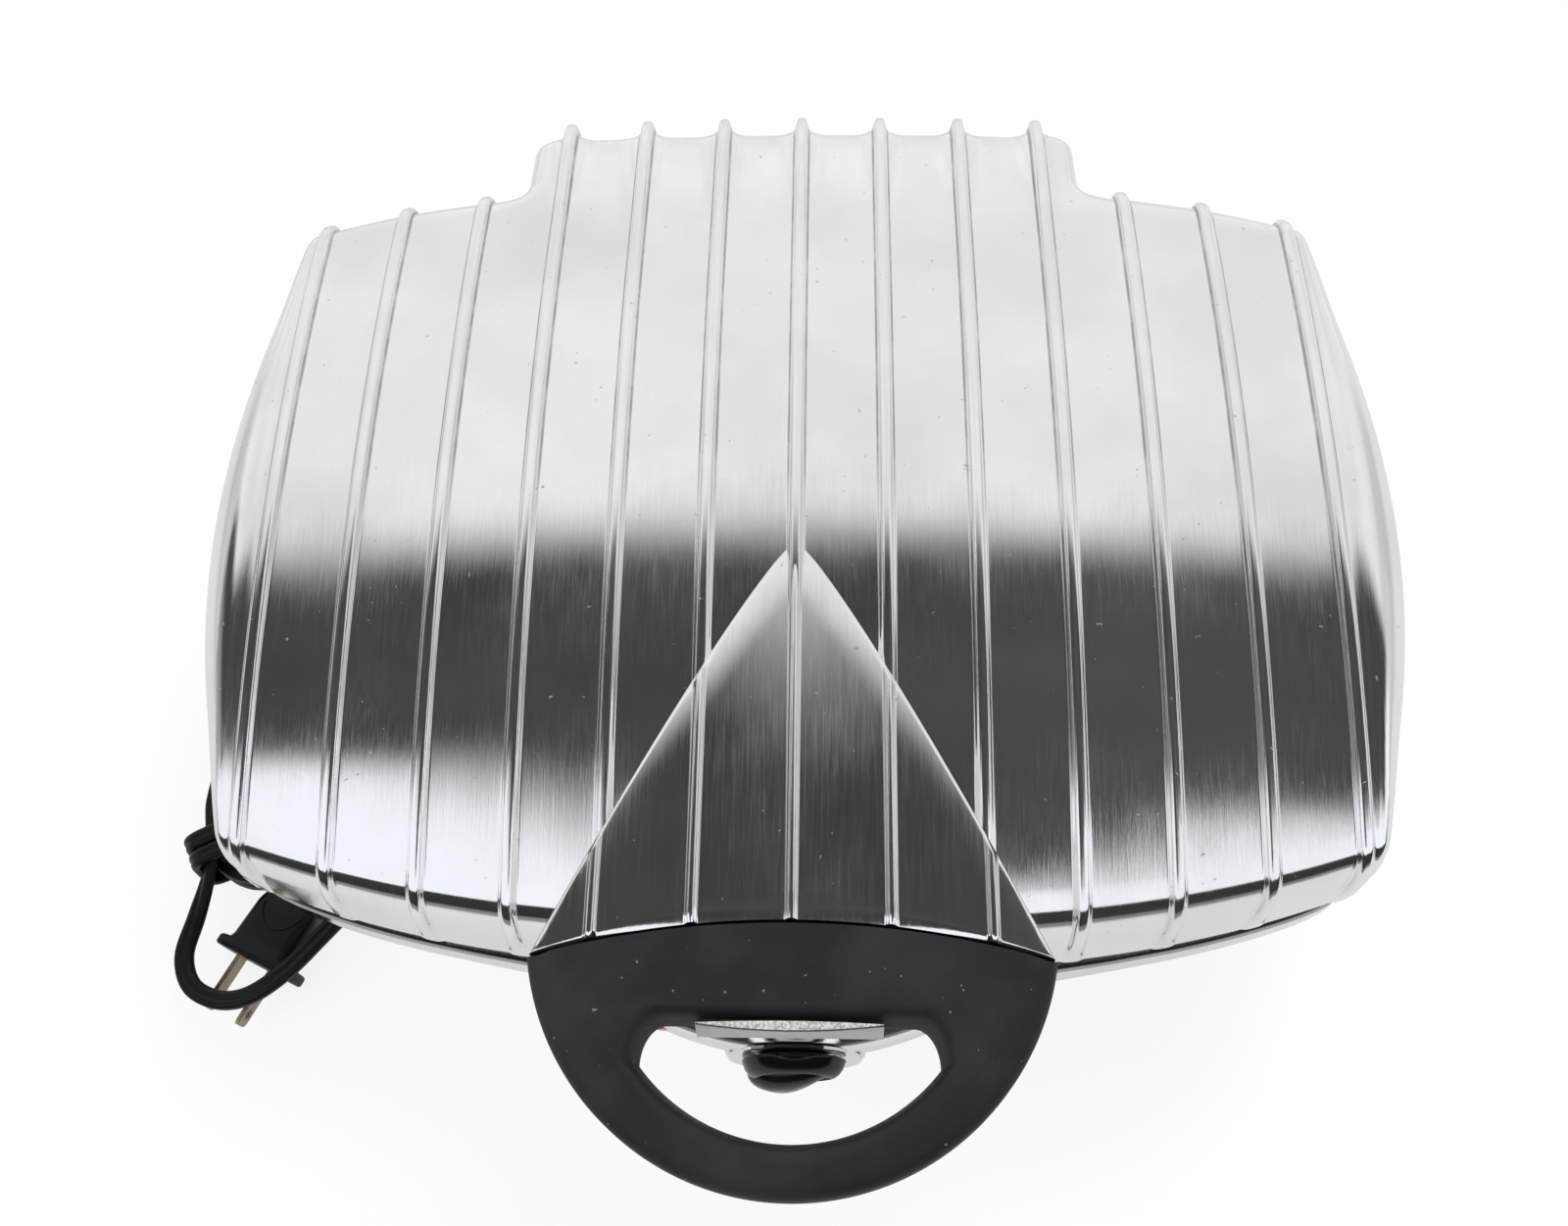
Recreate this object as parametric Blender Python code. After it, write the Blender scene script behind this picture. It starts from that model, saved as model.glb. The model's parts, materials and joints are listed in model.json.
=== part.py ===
"""Contact grill with a ribbed cast lid on a floating hinge.

Metres, +Z up. The front with the handle faces -Y and +X is to the right. The origin is on the
surface that the feet stand on, under the middle of the grill.
"""
import math

import bmesh
import bpy
from mathutils import Vector

# Clearances shared by all pieces
SEAT_GAP = 0.0003
RUN_GAP = 0.0006
OVERRUN = 0.004

# Heights of the main levels
GRILL_HEIGHT = 0.1395
FOOT_HEIGHT = 0.012
BASE_RIM_Z = 0.072
RIM_SPACE = 0.004
LID_RIM_Z = BASE_RIM_Z + RIM_SPACE

# Plan outline that lid and base share
FRONT_Y = -0.1044
FRONT_SWEEP = 0.0220
FRONT_REACH = 0.155
FRONT_POWER = 2.5
SIDE_X = 0.183
SIDE_RADIUS = 0.235
SIDE_CENTRE_Y = 0.024
REAR_Y = 0.1393
REAR_SWEEP = 0.0108
REAR_REACH = 0.154
REAR_POWER = 4.0
CORNER_SOFTNESS = 0.006

# Lid skin
LID_WALL = 0.0034
LID_CREST_Y = 0.0986
LID_LONG_RADIUS = 0.530
LID_CROSS_RADIUS = 1.62
CREASE_Y = -0.0986
CREASE_SWEEP = 0.0200
CREASE_ROUND = 0.006
REAR_ROUND = 0.009
TOP_STEPS = 8
SIDE_STEPS = 4
FRONT_LAG_SHARES = (0.0, 0.22, 0.42, 0.66, 1.0)
REAR_LAG_SHARES = (1.0, 0.6, 0.3, 0.0)
CORNER_RUN = 0.016
FLANK_POWER = 2.7

# Ribs
RIB_PITCH = 0.026
RIBS_EACH_SIDE = 6
RIB_FOOT = 0.0058
RIB_CROWN = 0.0030
RIB_HEIGHT = 0.0024
RIB_PROUD = 0.0056
RIB_FADE_SHARES = (0.25, 0.7, 1.0, 1.0)
RIB_REAR_SHARES = (1.0, 1.0, 0.7, 0.2)

# Hinge hood behind the lid
HOOD_HALF_WIDTH = 0.091
HOOD_Y = 0.1648
HOOD_ROUND = 0.006
HOOD_DRAFT = 0.0006
HOOD_ROWS = 3

# Prow between lid and handle
PROW_APEX_Y = 0.0061
PROW_APEX_DROP = 0.0101
PROW_APEX_Z = GRILL_HEIGHT - PROW_APEX_DROP
PROW_HALF_WIDTH = 0.0675
PROW_FULLNESS = 0.87
PROW_FRONT_Y = -0.1004
PROW_FRONT_DROP = 0.0237
PROW_FRONT_Z = GRILL_HEIGHT - PROW_FRONT_DROP
PROW_BOTTOM_Z = 0.092
PROW_RIB_HEIGHT = 0.0018
PROW_RIBS_EACH_SIDE = 2
JOINT_RADIUS = 0.250
PROW_WALL = 0.0045

# Handle
HANDLE_RADIUS = 0.0694
HANDLE_CENTRE_Y = -0.0980
HANDLE_THICKNESS = 0.014
HANDLE_STEP = 0.0004
HANDLE_TOP_Z = PROW_FRONT_Z + HANDLE_STEP
HANDLE_EDGE = 0.0035
HANDLE_END_INSET = 0.0008
GRIP_HALF_WIDTH = 0.038
GRIP_REAR_Y = -0.1259
GRIP_CORNER = 0.0065
GRIP_CORNER_DEPTH = 0.0100
GRIP_FRONT_Y = -0.1539
GRIP_FLARE = 0.0025
HANDLE_ARC_STEPS = 26
GRIP_ARC_STEPS = 14
GRIP_CORNER_STEPS = 4

# Nameplate
NAMEPLATE_WIDTH = 0.047
NAMEPLATE_HEIGHT = 0.0085
NAMEPLATE_THICKNESS = 0.0012

# Handle screws
HANDLE_SCREW_X = 0.036
HANDLE_SCREW_RADIUS = 0.0022
HANDLE_SCREW_HEAD = 0.0042
HANDLE_SCREW_HEAD_HEIGHT = 0.0026
HANDLE_SCREW_GRIP = 0.010
HANDLE_SCREW_DROP = 0.0097
HANDLE_SCREW_Z = HANDLE_TOP_Z - HANDLE_SCREW_DROP

# Base casting
BASE_WALL = 0.0034
BASE_DECK = 0.0036
BASE_PROUD = 0.0010
BASE_UNDERCUT = 0.040
REAR_UNDERCUT = 0.005
BASE_POINTS = 120
BASE_LEVEL_SHARES = (0.0, 0.05, 0.16, 0.36, 0.6, 0.84, 0.975, 1.0)
BASE_INSET_SHARES = (1.0, 0.84, 0.6, 0.29, 0.09, 0.0, 0.0, 0.03)
CHIN_RADIUS = 0.098
CHIN_Y = -0.1239
CHIN_UNDERCUT = 0.024
CHIN_INSET_SHARES = (1.0, 0.8, 0.46, 0.17, 0.05, 0.0, 0.42, 0.62)
CHIN_SOFTNESS = 0.008
RECESS_HALF_WIDTH = 0.0965
RECESS_Y = 0.1316
RECESS_SIDE = 0.004

# Cooking plates
PLATE_HALF_WIDTH = 0.128
PLATE_FRONT_Y = -0.0795
PLATE_REAR_Y = 0.1106
PLATE_CORNER = 0.030
PLATE_LEDGE = 0.007
PLATE_FLANGE = 0.0027
PLATE_BODY = 0.0043
PLATE_WELL = 0.0020
RIDGE_COUNT = 15
RIDGE_PITCH = 0.0155
RIDGE_FOOT = 0.0060
RIDGE_CROWN = 0.0030
RIDGE_MARGIN = 0.014
CORNER_STEPS = 5

# Heating elements
HEATER_RADIUS = 0.00325
HEATER_HALF_WIDTH = 0.100
HEATER_BEND = 0.022
HEATER_FRONT_Y = -0.0574
HEATER_REAR_Y = 0.0846
HEATER_LEG_X = 0.030
BEND_STEPS = 4

# Lower reflector pan
REFLECTOR_SHEET = 0.0008
REFLECTOR_DEPTH = 0.016
REFLECTOR_FLANGE = 0.006
REFLECTOR_MARGIN = 0.003

# Lid liner
LINER_SHEET = 0.0009
LINER_Z = LID_RIM_Z + 0.0020
LINER_DEPTH = 0.0155
LINER_MARGIN = 0.003
LINER_EDGE_GAP = 0.0014
LINER_REAR_Y = 0.1151
UPPER_BOSS_RADIUS = 0.005
UPPER_BOSS_X = 0.112
UPPER_BOSS_FRONT_Y = -0.0634
UPPER_BOSS_REAR_Y = 0.0906

# Posts inside the lid and the screws that hold the liner
POST_RADIUS = 0.0055
POST_OUTSIDE = 0.015
POST_X = PLATE_HALF_WIDTH + POST_OUTSIDE
POST_FRONT_Y = -0.0594
POST_REAR_Y = 0.0906
SCREW_RADIUS = 0.0019
SCREW_HEAD_RADIUS = 0.0038
SCREW_HEAD_HEIGHT = 0.0018
SCREW_LENGTH = 0.009
SCREW_BORE_GAP = 0.0003
ROUND_STEPS = 16

# Floating hinge
PIN_Y = 0.1496
PIN_Z = 0.086
PIN_RADIUS = 0.0035
PIN_HALF_LENGTH = 0.0835
LEG_X = 0.0750
LEG_SHEET = 0.0050
LEG_FRONT_Y = 0.1181
LEG_DEPTH = 0.0060
LEG_HOLD = 0.008
LEG_ARM_DROP = 0.0070
EYE_RADIUS = 0.0065
FLOAT_TRAVEL = 0.020
GUIDE_HALF_WIDTH = 0.0110
GUIDE_BOTTOM_Z = 0.0330
GUIDE_TOP_Z = 0.0640
LEG_BOTTOM_Z = GUIDE_TOP_Z - FLOAT_TRAVEL - LEG_HOLD
GUIDE_FRONT_Y = 0.1151
LUG_SHEET = 0.0050
LUG_HALF_DEPTH = 0.0068
CLIP_RADIUS = 0.0058
CLIP_SHEET = 0.0010
CLIP_INSET = 0.0030

# Bottom cover, feet and cover screws
COVER_SHEET = 0.0010
COVER_EDGE_GAP = 0.0008
LINER_POINTS = 60
VENT_COUNT = 7
VENT_PITCH = 0.012
VENT_LENGTH = 0.050
VENT_WIDTH = 0.004
VENT_Y = -0.0464
FOOT_RADIUS = 0.0115
FOOT_NECK = 0.0090
FOOT_X = 0.098
FOOT_FRONT_Y = -0.0474
FOOT_REAR_Y = 0.0886
BOSS_RADIUS = 0.005
BOSS_X = 0.1355
BOSS_FRONT_Y = -0.0134
BOSS_REAR_Y = 0.0606

# Drip tray, its runners and the drain
TRAY_HALF_WIDTH = 0.054
TRAY_FRONT_Y = -0.0134
TRAY_Z = 0.0165
TRAY_HEIGHT = 0.015
TRAY_WALL = 0.0012
TRAY_FACE = 0.0030
TRAY_FACE_OVERLAP = 0.0035
TRAY_PULL_WIDTH = 0.034
TRAY_PULL_DEPTH = 0.006
TRAY_PULL_HEIGHT = 0.0035
RUNNER_SHEET = 0.0014
RUNNER_LEDGE = 0.008
SPOUT_RADIUS = 0.0070
SPOUT_BORE = 0.0052
SPOUT_Y = 0.0926
SPOUT_END_GAP = 0.0020

# Controls on the chin
KNOB_Z = 0.050
DIAL_Y = -0.1228
DIAL_BOSS_RADIUS = 0.0205
DIAL_BOSS_DEPTH = 0.0069
DIAL_RADIUS = 0.0195
DIAL_SHEET = 0.0008
KNOB_RADIUS = 0.0158
KNOB_SKIRT = 0.0035
KNOB_DEPTH = 0.0088
KNOB_CORE_RADIUS = 0.0120
KNOB_GRIP_WIDTH = 0.0085
KNOB_TURN = math.radians(62)
SHAFT_RADIUS = 0.0030
SHAFT_BORE_GAP = 0.0004
SHAFT_GRIP = 0.0055
KNOB_STEPS = 28
THERMOSTAT_WIDTH = 0.030
THERMOSTAT_DEPTH = 0.022
THERMOSTAT_HEIGHT = 0.026
THERMOSTAT_SHAFT_GRIP = 0.006
LAMP_X = 0.038
LAMP_Z = 0.060
LAMP_RADIUS = 0.0026
LAMP_PROUD = 0.0016
LAMP_LENGTH = 0.010
TERMINAL_WIDTH = 0.036
TERMINAL_DEPTH = 0.016
TERMINAL_HEIGHT = 0.014
TERMINAL_X = -0.092
TERMINAL_Y = 0.0906

# Cord, its gland, the tie and the plug
CORD_DIAMETER = 0.0052
CORD_FLOOR_GAP = 0.0004
GLAND_X = -0.118
GLAND_Z = 0.026
GLAND_RADIUS = 0.0068
GLAND_END_RADIUS = 0.0046
GLAND_COLLAR_RADIUS = 0.0092
GLAND_COLLAR = 0.0030
GLAND_TAIL = 0.020
GLAND_ROOT = 0.006
GLAND_BOSS = 0.0022
GLAND_BOSS_RADIUS = 0.0105
HANK_X = -0.1885
HANK_FRONT_Y = -0.0424
HANK_REAR_Y = 0.0366
HANK_RADIUS = 0.0170
HANK_STEP = 0.0062
HANK_TURNS = 2.545
HANK_START_SHARE = 0.05
HANK_POINTS = 24
HANK_CLIMB_SHARES = (0.56, 0.78)
TIE_SHEET = 0.0010
TIE_WIDTH = 0.0050
TIE_LIFT = 0.0014
TIE_REACH = 0.026
TIE_X = -0.2025
TIE_Y = -0.0504
TIE_HEADING = math.radians(8)
PLUG_X = -0.1815
PLUG_Y = -0.0884
PLUG_Z = 0.0086
PLUG_HEADING = math.radians(205)
PLUG_FLANGE_WIDTH = 0.031
PLUG_FLANGE_HEIGHT = 0.0165
PLUG_FLANGE = 0.0036
PLUG_BODY_WIDTH = 0.0235
PLUG_BODY_HEIGHT = 0.0150
PLUG_BODY = 0.026
PLUG_TAIL = 0.010
PLUG_TAIL_WIDTH = 0.0085
BLADE_SPACING = 0.0127
BLADE_HEIGHT = 0.0063
BLADE_SHEET = 0.0015
BLADE_LENGTH = 0.0190
BLADE_ROOT = 0.006
BLADE_HOLE = 0.0015
BLADE_HOLE_INSET = 0.0045

# Finishes: colour, roughness, metallic
POLISHED = ("polished_aluminium", (0.90, 0.90, 0.91), 0.10, 1.0)
STEEL = ("steel", (0.62, 0.62, 0.62), 0.30, 1.0)
GALVANISED = ("galvanised_sheet", (0.70, 0.71, 0.72), 0.42, 1.0)
BLACK_PLASTIC = ("black_phenolic", (0.024, 0.024, 0.026), 0.55, 0.0)
GLOSS_BLACK = ("gloss_black", (0.010, 0.010, 0.011), 0.10, 0.0)
NON_STICK = ("non_stick", (0.030, 0.030, 0.032), 0.45, 0.0)
RUBBER = ("rubber", (0.020, 0.020, 0.020), 0.80, 0.0)
CORD_BLACK = ("cord_black", (0.014, 0.014, 0.015), 0.50, 0.0)
SILVER = ("silver_plate", (0.55, 0.55, 0.56), 0.30, 1.0)
BRASS = ("tarnished_brass", (0.40, 0.35, 0.26), 0.38, 1.0)
RED_LENS = ("red_lens", (0.55, 0.03, 0.02), 0.12, 0.0)
AMBER_LENS = ("amber_lens", (0.75, 0.35, 0.04), 0.12, 0.0)
CERAMIC = ("ceramic", (0.80, 0.78, 0.72), 0.50, 0.0)
MINERAL = ("heater_sheath", (0.20, 0.19, 0.18), 0.45, 1.0)


def clear_scene():
    for obj in list(bpy.data.objects):
        bpy.data.objects.remove(obj, do_unlink=True)


def finish_material(finish):
    name, colour, roughness, metallic = finish
    if name in bpy.data.materials:
        return bpy.data.materials[name]
    material = bpy.data.materials.new(name)
    material.use_nodes = True
    shader = material.node_tree.nodes["Principled BSDF"]
    shader.inputs["Base Color"].default_value = (*colour, 1.0)
    shader.inputs["Roughness"].default_value = roughness
    shader.inputs["Metallic"].default_value = metallic
    return material


def link(name, data):
    obj = bpy.data.objects.new(name, data)
    bpy.context.scene.collection.objects.link(obj)
    return obj


def solid(name, vertices, faces, finish=None, smooth=True):
    """Object from points and faces, with its faces turned outwards."""
    mesh = bpy.data.meshes.new(name)
    mesh.from_pydata([tuple(v) for v in vertices], [], faces)
    work = bmesh.new()
    work.from_mesh(mesh)
    bmesh.ops.recalc_face_normals(work, faces=work.faces)
    work.to_mesh(mesh)
    work.free()
    if smooth:
        mesh.shade_smooth()
        mesh.set_sharp_from_angle(angle=math.radians(32))
    obj = link(name, mesh)
    if finish:
        mesh.materials.append(finish_material(finish))
    else:
        obj.hide_render = True
        obj.display_type = "WIRE"
    return obj


def loft(name, rings, finish=None, smooth=True):
    """Closed solid through rings of equally many points, with flat ends."""
    count = len(rings[0])
    vertices = [point for ring in rings for point in ring]
    faces = []
    for level in range(len(rings) - 1):
        for i in range(count):
            j = (i + 1) % count
            faces.append((level * count + i, level * count + j,
                          (level + 1) * count + j, (level + 1) * count + i))
    faces.append(tuple(reversed(range(count))))
    faces.append(tuple(range((len(rings) - 1) * count, len(rings) * count)))
    return solid(name, vertices, faces, finish, smooth)


def prism(name, outline, low, high, finish=None):
    """Upright solid on a plan outline."""
    return loft(name, [[(x, y, low) for x, y in outline], [(x, y, high) for x, y in outline]], finish)


def side_plate(name, outline, low_x, high_x, finish=None):
    """Plate on an outline of (y, z) points, between two values of x."""
    return loft(name, [[(low_x, y, z) for y, z in outline], [(high_x, y, z) for y, z in outline]], finish)


def box(name, low, high, finish=None):
    outline = [(low[0], low[1]), (high[0], low[1]), (high[0], high[1]), (low[0], high[1])]
    return prism(name, outline, low[2], high[2], finish)


def circle(centre, radius, steps=ROUND_STEPS, start=0.0):
    return [(centre[0] + radius * math.cos(start + 2 * math.pi * i / steps),
             centre[1] + radius * math.sin(start + 2 * math.pi * i / steps)) for i in range(steps)]


def turned(name, profile, origin, axis, finish=None, steps=ROUND_STEPS):
    """Solid turned about an axis: profile is (radius, distance along the axis), first to last."""
    axis = Vector(axis).normalized()
    side = axis.orthogonal().normalized()
    up = axis.cross(side)
    rings = []
    for radius, along in profile:
        ring = []
        for x, y in circle((0, 0), radius, steps, math.pi / steps):
            ring.append(Vector(origin) + axis * along + side * x + up * y)
        rings.append(ring)
    return loft(name, rings, finish)


def rod(name, start, end, radius, finish=None, steps=ROUND_STEPS):
    span = Vector(end) - Vector(start)
    return turned(name, [(radius, 0), (radius, span.length)], start, span, finish, steps)


def rounded_rectangle(low_x, low_y, high_x, high_y, radius, steps=CORNER_STEPS):
    corners = ((high_x - radius, high_y - radius, 0), (low_x + radius, high_y - radius, 1),
               (low_x + radius, low_y + radius, 2), (high_x - radius, low_y + radius, 3))
    points = []
    for cx, cy, quarter in corners:
        for i in range(steps + 1):
            angle = math.pi / 2 * (quarter + i / steps)
            points.append((cx + radius * math.cos(angle), cy + radius * math.sin(angle)))
    return points


def combine(obj, other, operation="DIFFERENCE"):
    """Boolean of one object with another, which stays as a hidden guide."""
    modifier = obj.modifiers.new(operation.lower(), "BOOLEAN")
    modifier.object = other
    modifier.operation = operation
    modifier.solver = "EXACT"
    return obj


def tube(name, points, radius, finish, resolution=2):
    curve = bpy.data.curves.new(name, "CURVE")
    curve.dimensions = "3D"
    curve.bevel_depth = radius
    curve.bevel_resolution = resolution
    curve.use_fill_caps = True
    spline = curve.splines.new("POLY")
    spline.points.add(len(points) - 1)
    for slot, point in zip(spline.points, points):
        slot.co = (*point, 1.0)
    spline.use_smooth = True
    curve.materials.append(finish_material(finish))
    return link(name, curve)


def set_origin(obj, point):
    """Moves an object's origin to a point and leaves its mesh where it is."""
    offset = Vector(point)
    for vertex in obj.data.vertices:
        vertex.co -= offset
    obj.location = offset


def attach(objects, empty):
    for obj in objects:
        obj.parent = empty
        obj.matrix_parent_inverse = empty.matrix_world.inverted()


def empty_at(name, point):
    empty = link(name, None)
    empty.location = point
    bpy.context.view_layer.update()
    return empty


# Outline of lid and base

def front_edge(x):
    return FRONT_Y + FRONT_SWEEP * (abs(x) / FRONT_REACH) ** FRONT_POWER


def rear_edge(x):
    return REAR_Y - REAR_SWEEP * (abs(x) / REAR_REACH) ** REAR_POWER


def crease_edge(x):
    return CREASE_Y + CREASE_SWEEP * (abs(x) / FRONT_REACH) ** FRONT_POWER


def side_edge(y):
    return SIDE_X - (y - SIDE_CENTRE_Y) ** 2 / (2 * SIDE_RADIUS)


def soft_max(a, b, softness):
    return (a + b + math.sqrt((a - b) ** 2 + softness ** 2)) / 2


def chin_edge(x):
    centre = CHIN_Y + CHIN_RADIUS
    return centre - math.sqrt(max(CHIN_RADIUS ** 2 - x ** 2, 0))


def recessed_rear(x):
    blend = min(max((abs(x) - RECESS_HALF_WIDTH) / RECESS_SIDE, 0), 1)
    return RECESS_Y + (rear_edge(x) + BASE_PROUD / 2 - RECESS_Y) * blend


def outline_ring(inset, chin_inset, rear_inset, count, rear_limit=None):
    """Plan outline of the base, drawn in by an inset all round, as points by angle."""
    def outside(x, y):
        front = -soft_max(-(front_edge(x) + inset), -(chin_edge(x) + chin_inset), CHIN_SOFTNESS)
        side_gap = abs(x) - side_edge(y) + inset
        rear_gap = y - recessed_rear(x) + rear_inset
        if rear_limit is not None:
            rear_gap = max(rear_gap, y - rear_limit)
        return soft_max(soft_max(side_gap, front - y, CORNER_SOFTNESS), rear_gap, CORNER_SOFTNESS / 3)

    points = []
    for i in range(count):
        angle = 2 * math.pi * (i + 0.5) / count
        low, high = 0.0, SIDE_X * 2
        for _ in range(40):
            middle = (low + high) / 2
            if outside(middle * math.cos(angle), SIDE_CENTRE_Y + middle * math.sin(angle)) > 0:
                high = middle
            else:
                low = middle
        points.append((low * math.cos(angle), SIDE_CENTRE_Y + low * math.sin(angle)))
    return points


# Lid skin

def lid_height(x, y):
    along = LID_LONG_RADIUS - math.sqrt(LID_LONG_RADIUS ** 2 - (y - LID_CREST_Y) ** 2)
    return GRILL_HEIGHT - RIB_HEIGHT - along - x ** 2 / (2 * LID_CROSS_RADIUS)


def lid_section(x, inset, floor, hood):
    """Outer line of the lid at one x, as (y, z) points from the front rim over to the rear rim."""
    top = lambda y: lid_height(x, y) - inset
    crease = crease_edge(x) + inset
    crease_z = top(crease)
    rim = front_edge(x) + inset
    wall = Vector((rim - crease, LID_RIM_Z - crease_z))
    wall_step = wall.normalized() * CREASE_ROUND
    low_y = rim + wall[0] * (floor - LID_RIM_Z) / wall[1]
    wall_top = Vector((crease, crease_z)) + wall_step
    wall_middle = (Vector((low_y, floor)) + wall_top) / 2
    start = crease + CREASE_ROUND
    crease_middle = Vector((crease, crease_z)) / 2 + (wall_top + Vector((start, top(start)))) / 4
    points = [(low_y, floor), tuple(wall_middle), tuple(wall_top), tuple(crease_middle)]
    end = rear_edge(x) - REAR_ROUND - inset
    for i in range(TOP_STEPS + 1):
        y = start + (end - start) * i / TOP_STEPS
        points.append((y, top(y)))
    if hood:
        rear = HOOD_Y - inset
        last = rear - HOOD_ROUND
        for i in range(1, HOOD_ROWS + 1):
            y = end + (last - end) * i / HOOD_ROWS
            points.append((y, top(y)))
        points.append((rear - HOOD_ROUND * 0.3, top(last) - HOOD_ROUND * 0.35))
        points.append((rear, top(last) - HOOD_ROUND * 1.2))
        points.append((rear + HOOD_DRAFT, floor))
    else:
        rear = rear_edge(x) - inset
        points.append((rear - REAR_ROUND * 0.28, top(rear) - REAR_ROUND * 0.22))
        points.append((rear, top(rear) - REAR_ROUND * 0.9))
        points.append((rear + HOOD_DRAFT, floor))
    return points


def raised(section, height, shares):
    """Section with each point moved out along its own normal."""
    points = []
    for i, (y, z) in enumerate(section):
        before = section[max(i - 1, 0)]
        after = section[min(i + 1, len(section) - 1)]
        along = Vector((after[0] - before[0], after[1] - before[1])).normalized()
        points.append((y - along[1] * height * shares[i], z + along[0] * height * shares[i]))
    points[0] = (points[0][0], section[0][1])
    points[-1] = (points[-1][0], section[-1][1])
    return points


def rib_shares(count, hood):
    front = list(RIB_FADE_SHARES)
    if hood:
        proud = RIB_PROUD / RIB_HEIGHT
        middle = [1.0] * (count - len(front) - 4)
        return front + middle + [(1 + proud) / 2, proud, proud, proud]
    rear = list(RIB_REAR_SHARES)
    return front + [1.0] * (count - len(front) - len(rear)) + rear


def flank_columns(section, edge_x, inset, floor, sign):
    """Columns of the barrel side, from the outermost rib out and down to the rim."""
    count = len(section)
    corner_front = front_edge(edge_x) + inset + CORNER_SOFTNESS / 2
    corner_rear = rear_edge(edge_x) - inset - CORNER_SOFTNESS / 2
    side_y = []
    for i, (y, z) in enumerate(section):
        if i < len(FRONT_LAG_SHARES):
            y = corner_front + CORNER_RUN * FRONT_LAG_SHARES[i]
        if i >= count - len(REAR_LAG_SHARES):
            y = corner_rear - CORNER_RUN * REAR_LAG_SHARES[i - count + len(REAR_LAG_SHARES)]
        side_y.append(y)
    columns = []
    for step in range(1, SIDE_STEPS + 1):
        angle = math.pi / 2 * step / SIDE_STEPS
        across = math.sin(angle) ** (2 / FLANK_POWER)
        upright = math.cos(angle) ** (2 / FLANK_POWER) if step < SIDE_STEPS else 0.0
        column = []
        for (y, z), target in zip(section, side_y):
            reach = side_edge(target) - inset - edge_x
            column.append((sign * (edge_x + reach * across),
                           y + (target - y) * (1 - math.cos(angle)),
                           floor + (z - floor) * upright))
        columns.append(column)
    return columns


def lid_body(name, inset, floor, ribbed, finish=None):
    """Lid as one solid down to its rim, with or without ribs, drawn in by an inset."""
    edge_x = RIB_PITCH * RIBS_EACH_SIDE + RIB_FOOT / 2 - inset
    hood_x = HOOD_HALF_WIDTH - inset
    stations = []
    for k in range(-RIBS_EACH_SIDE, RIBS_EACH_SIDE + 1):
        centre = k * RIB_PITCH
        if ribbed:
            stations += [(centre - RIB_FOOT / 2, 0), (centre - RIB_CROWN / 2, 1),
                         (centre + RIB_CROWN / 2, 1), (centre + RIB_FOOT / 2, 0)]
        else:
            stations.append((min(max(centre, -edge_x), edge_x), 0))
    columns = []
    for x, lifted in stations:
        hood = abs(x) < hood_x
        if columns and hood != columns[-1][1]:
            side = math.copysign(hood_x, x)
            for part in (columns[-1][1], hood):
                section = lid_section(side, inset, floor, part)
                columns.append(([(side, y, z) for y, z in section], part))
        section = lid_section(x, inset, floor, hood)
        if lifted:
            section = raised(section, RIB_HEIGHT, rib_shares(len(section), hood))
        columns.append(([(x, y, z) for y, z in section], hood))
    plain = lid_section(edge_x, inset, floor, False)
    left = flank_columns(plain, edge_x, inset, floor, -1)
    right = flank_columns(plain, edge_x, inset, floor, 1)
    columns = [(c, False) for c in reversed(left)] + columns + [(c, False) for c in right]

    vertices = []
    index = []
    for column, hood in columns:
        row = []
        for point in column:
            row.append(len(vertices))
            vertices.append(point)
        index.append(row)
    shared = 4 + TOP_STEPS + 1
    faces = []
    rim = []
    for j in range(len(columns) - 1):
        here, there = index[j], index[j + 1]
        if columns[j][1] != columns[j + 1][1]:
            for i in range(shared):
                index[j + 1][i] = here[i]
            faces.append(tuple([here[shared - 1]] + here[shared:] + list(reversed(there[shared:]))))
            continue
        for i in range(len(here) - 1):
            faces.append((here[i], here[i + 1], there[i + 1], there[i]))
    front = [row[0] for row in index]
    rear = [row[-1] for row in index]
    left_side = index[0]
    right_side = index[-1]
    loop = front + right_side[1:-1] + list(reversed(rear)) + list(reversed(left_side[1:-1]))
    for item in loop:
        if not rim or item != rim[-1]:
            rim.append(item)
    faces.append(tuple(rim))
    return solid(name, vertices, faces, finish)


def prow_plane(y):
    slope = (PROW_APEX_Z - PROW_FRONT_Z) / (PROW_APEX_Y - PROW_FRONT_Y)
    return PROW_FRONT_Z + slope * (y - PROW_FRONT_Y)


def joint_arc(x):
    """Arched line where the prow meets the handle."""
    return PROW_FRONT_Y - JOINT_RADIUS + math.sqrt(JOINT_RADIUS ** 2 - x ** 2)


def prow_body(name, inset, bottom, ribbed):
    """Wedge with its point to the rear, an arched front and its own ribs."""
    half_width = PROW_HALF_WIDTH
    run = (PROW_APEX_Y - joint_arc(half_width)) / half_width
    shift = inset * math.sqrt(1 + run ** 2)
    limit = half_width - inset * 1.6
    stations = []
    count = PROW_RIBS_EACH_SIDE
    for k in range(-count, count + 1):
        centre = k * RIB_PITCH
        if ribbed:
            stations += [(centre - RIB_FOOT / 2, 0), (centre - RIB_CROWN / 2, 1),
                         (centre + RIB_CROWN / 2, 1), (centre + RIB_FOOT / 2, 0)]
        else:
            stations.append((centre, 0))
    stations = [(-limit, 0)] + stations + [(limit, 0)]
    rings = []
    for x, lifted in stations:
        share = (abs(x) / half_width) ** (1 / PROW_FULLNESS)
        rear = PROW_APEX_Y - share * run * half_width - shift
        front = joint_arc(x) + inset
        rear = max(rear, front + SEAT_GAP)
        lift = PROW_RIB_HEIGHT * lifted - inset
        rings.append([(x, rear, bottom), (x, front, bottom),
                      (x, front, prow_plane(front) + lift), (x, rear, prow_plane(rear) + lift)])
    return loft(name, rings)


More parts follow.
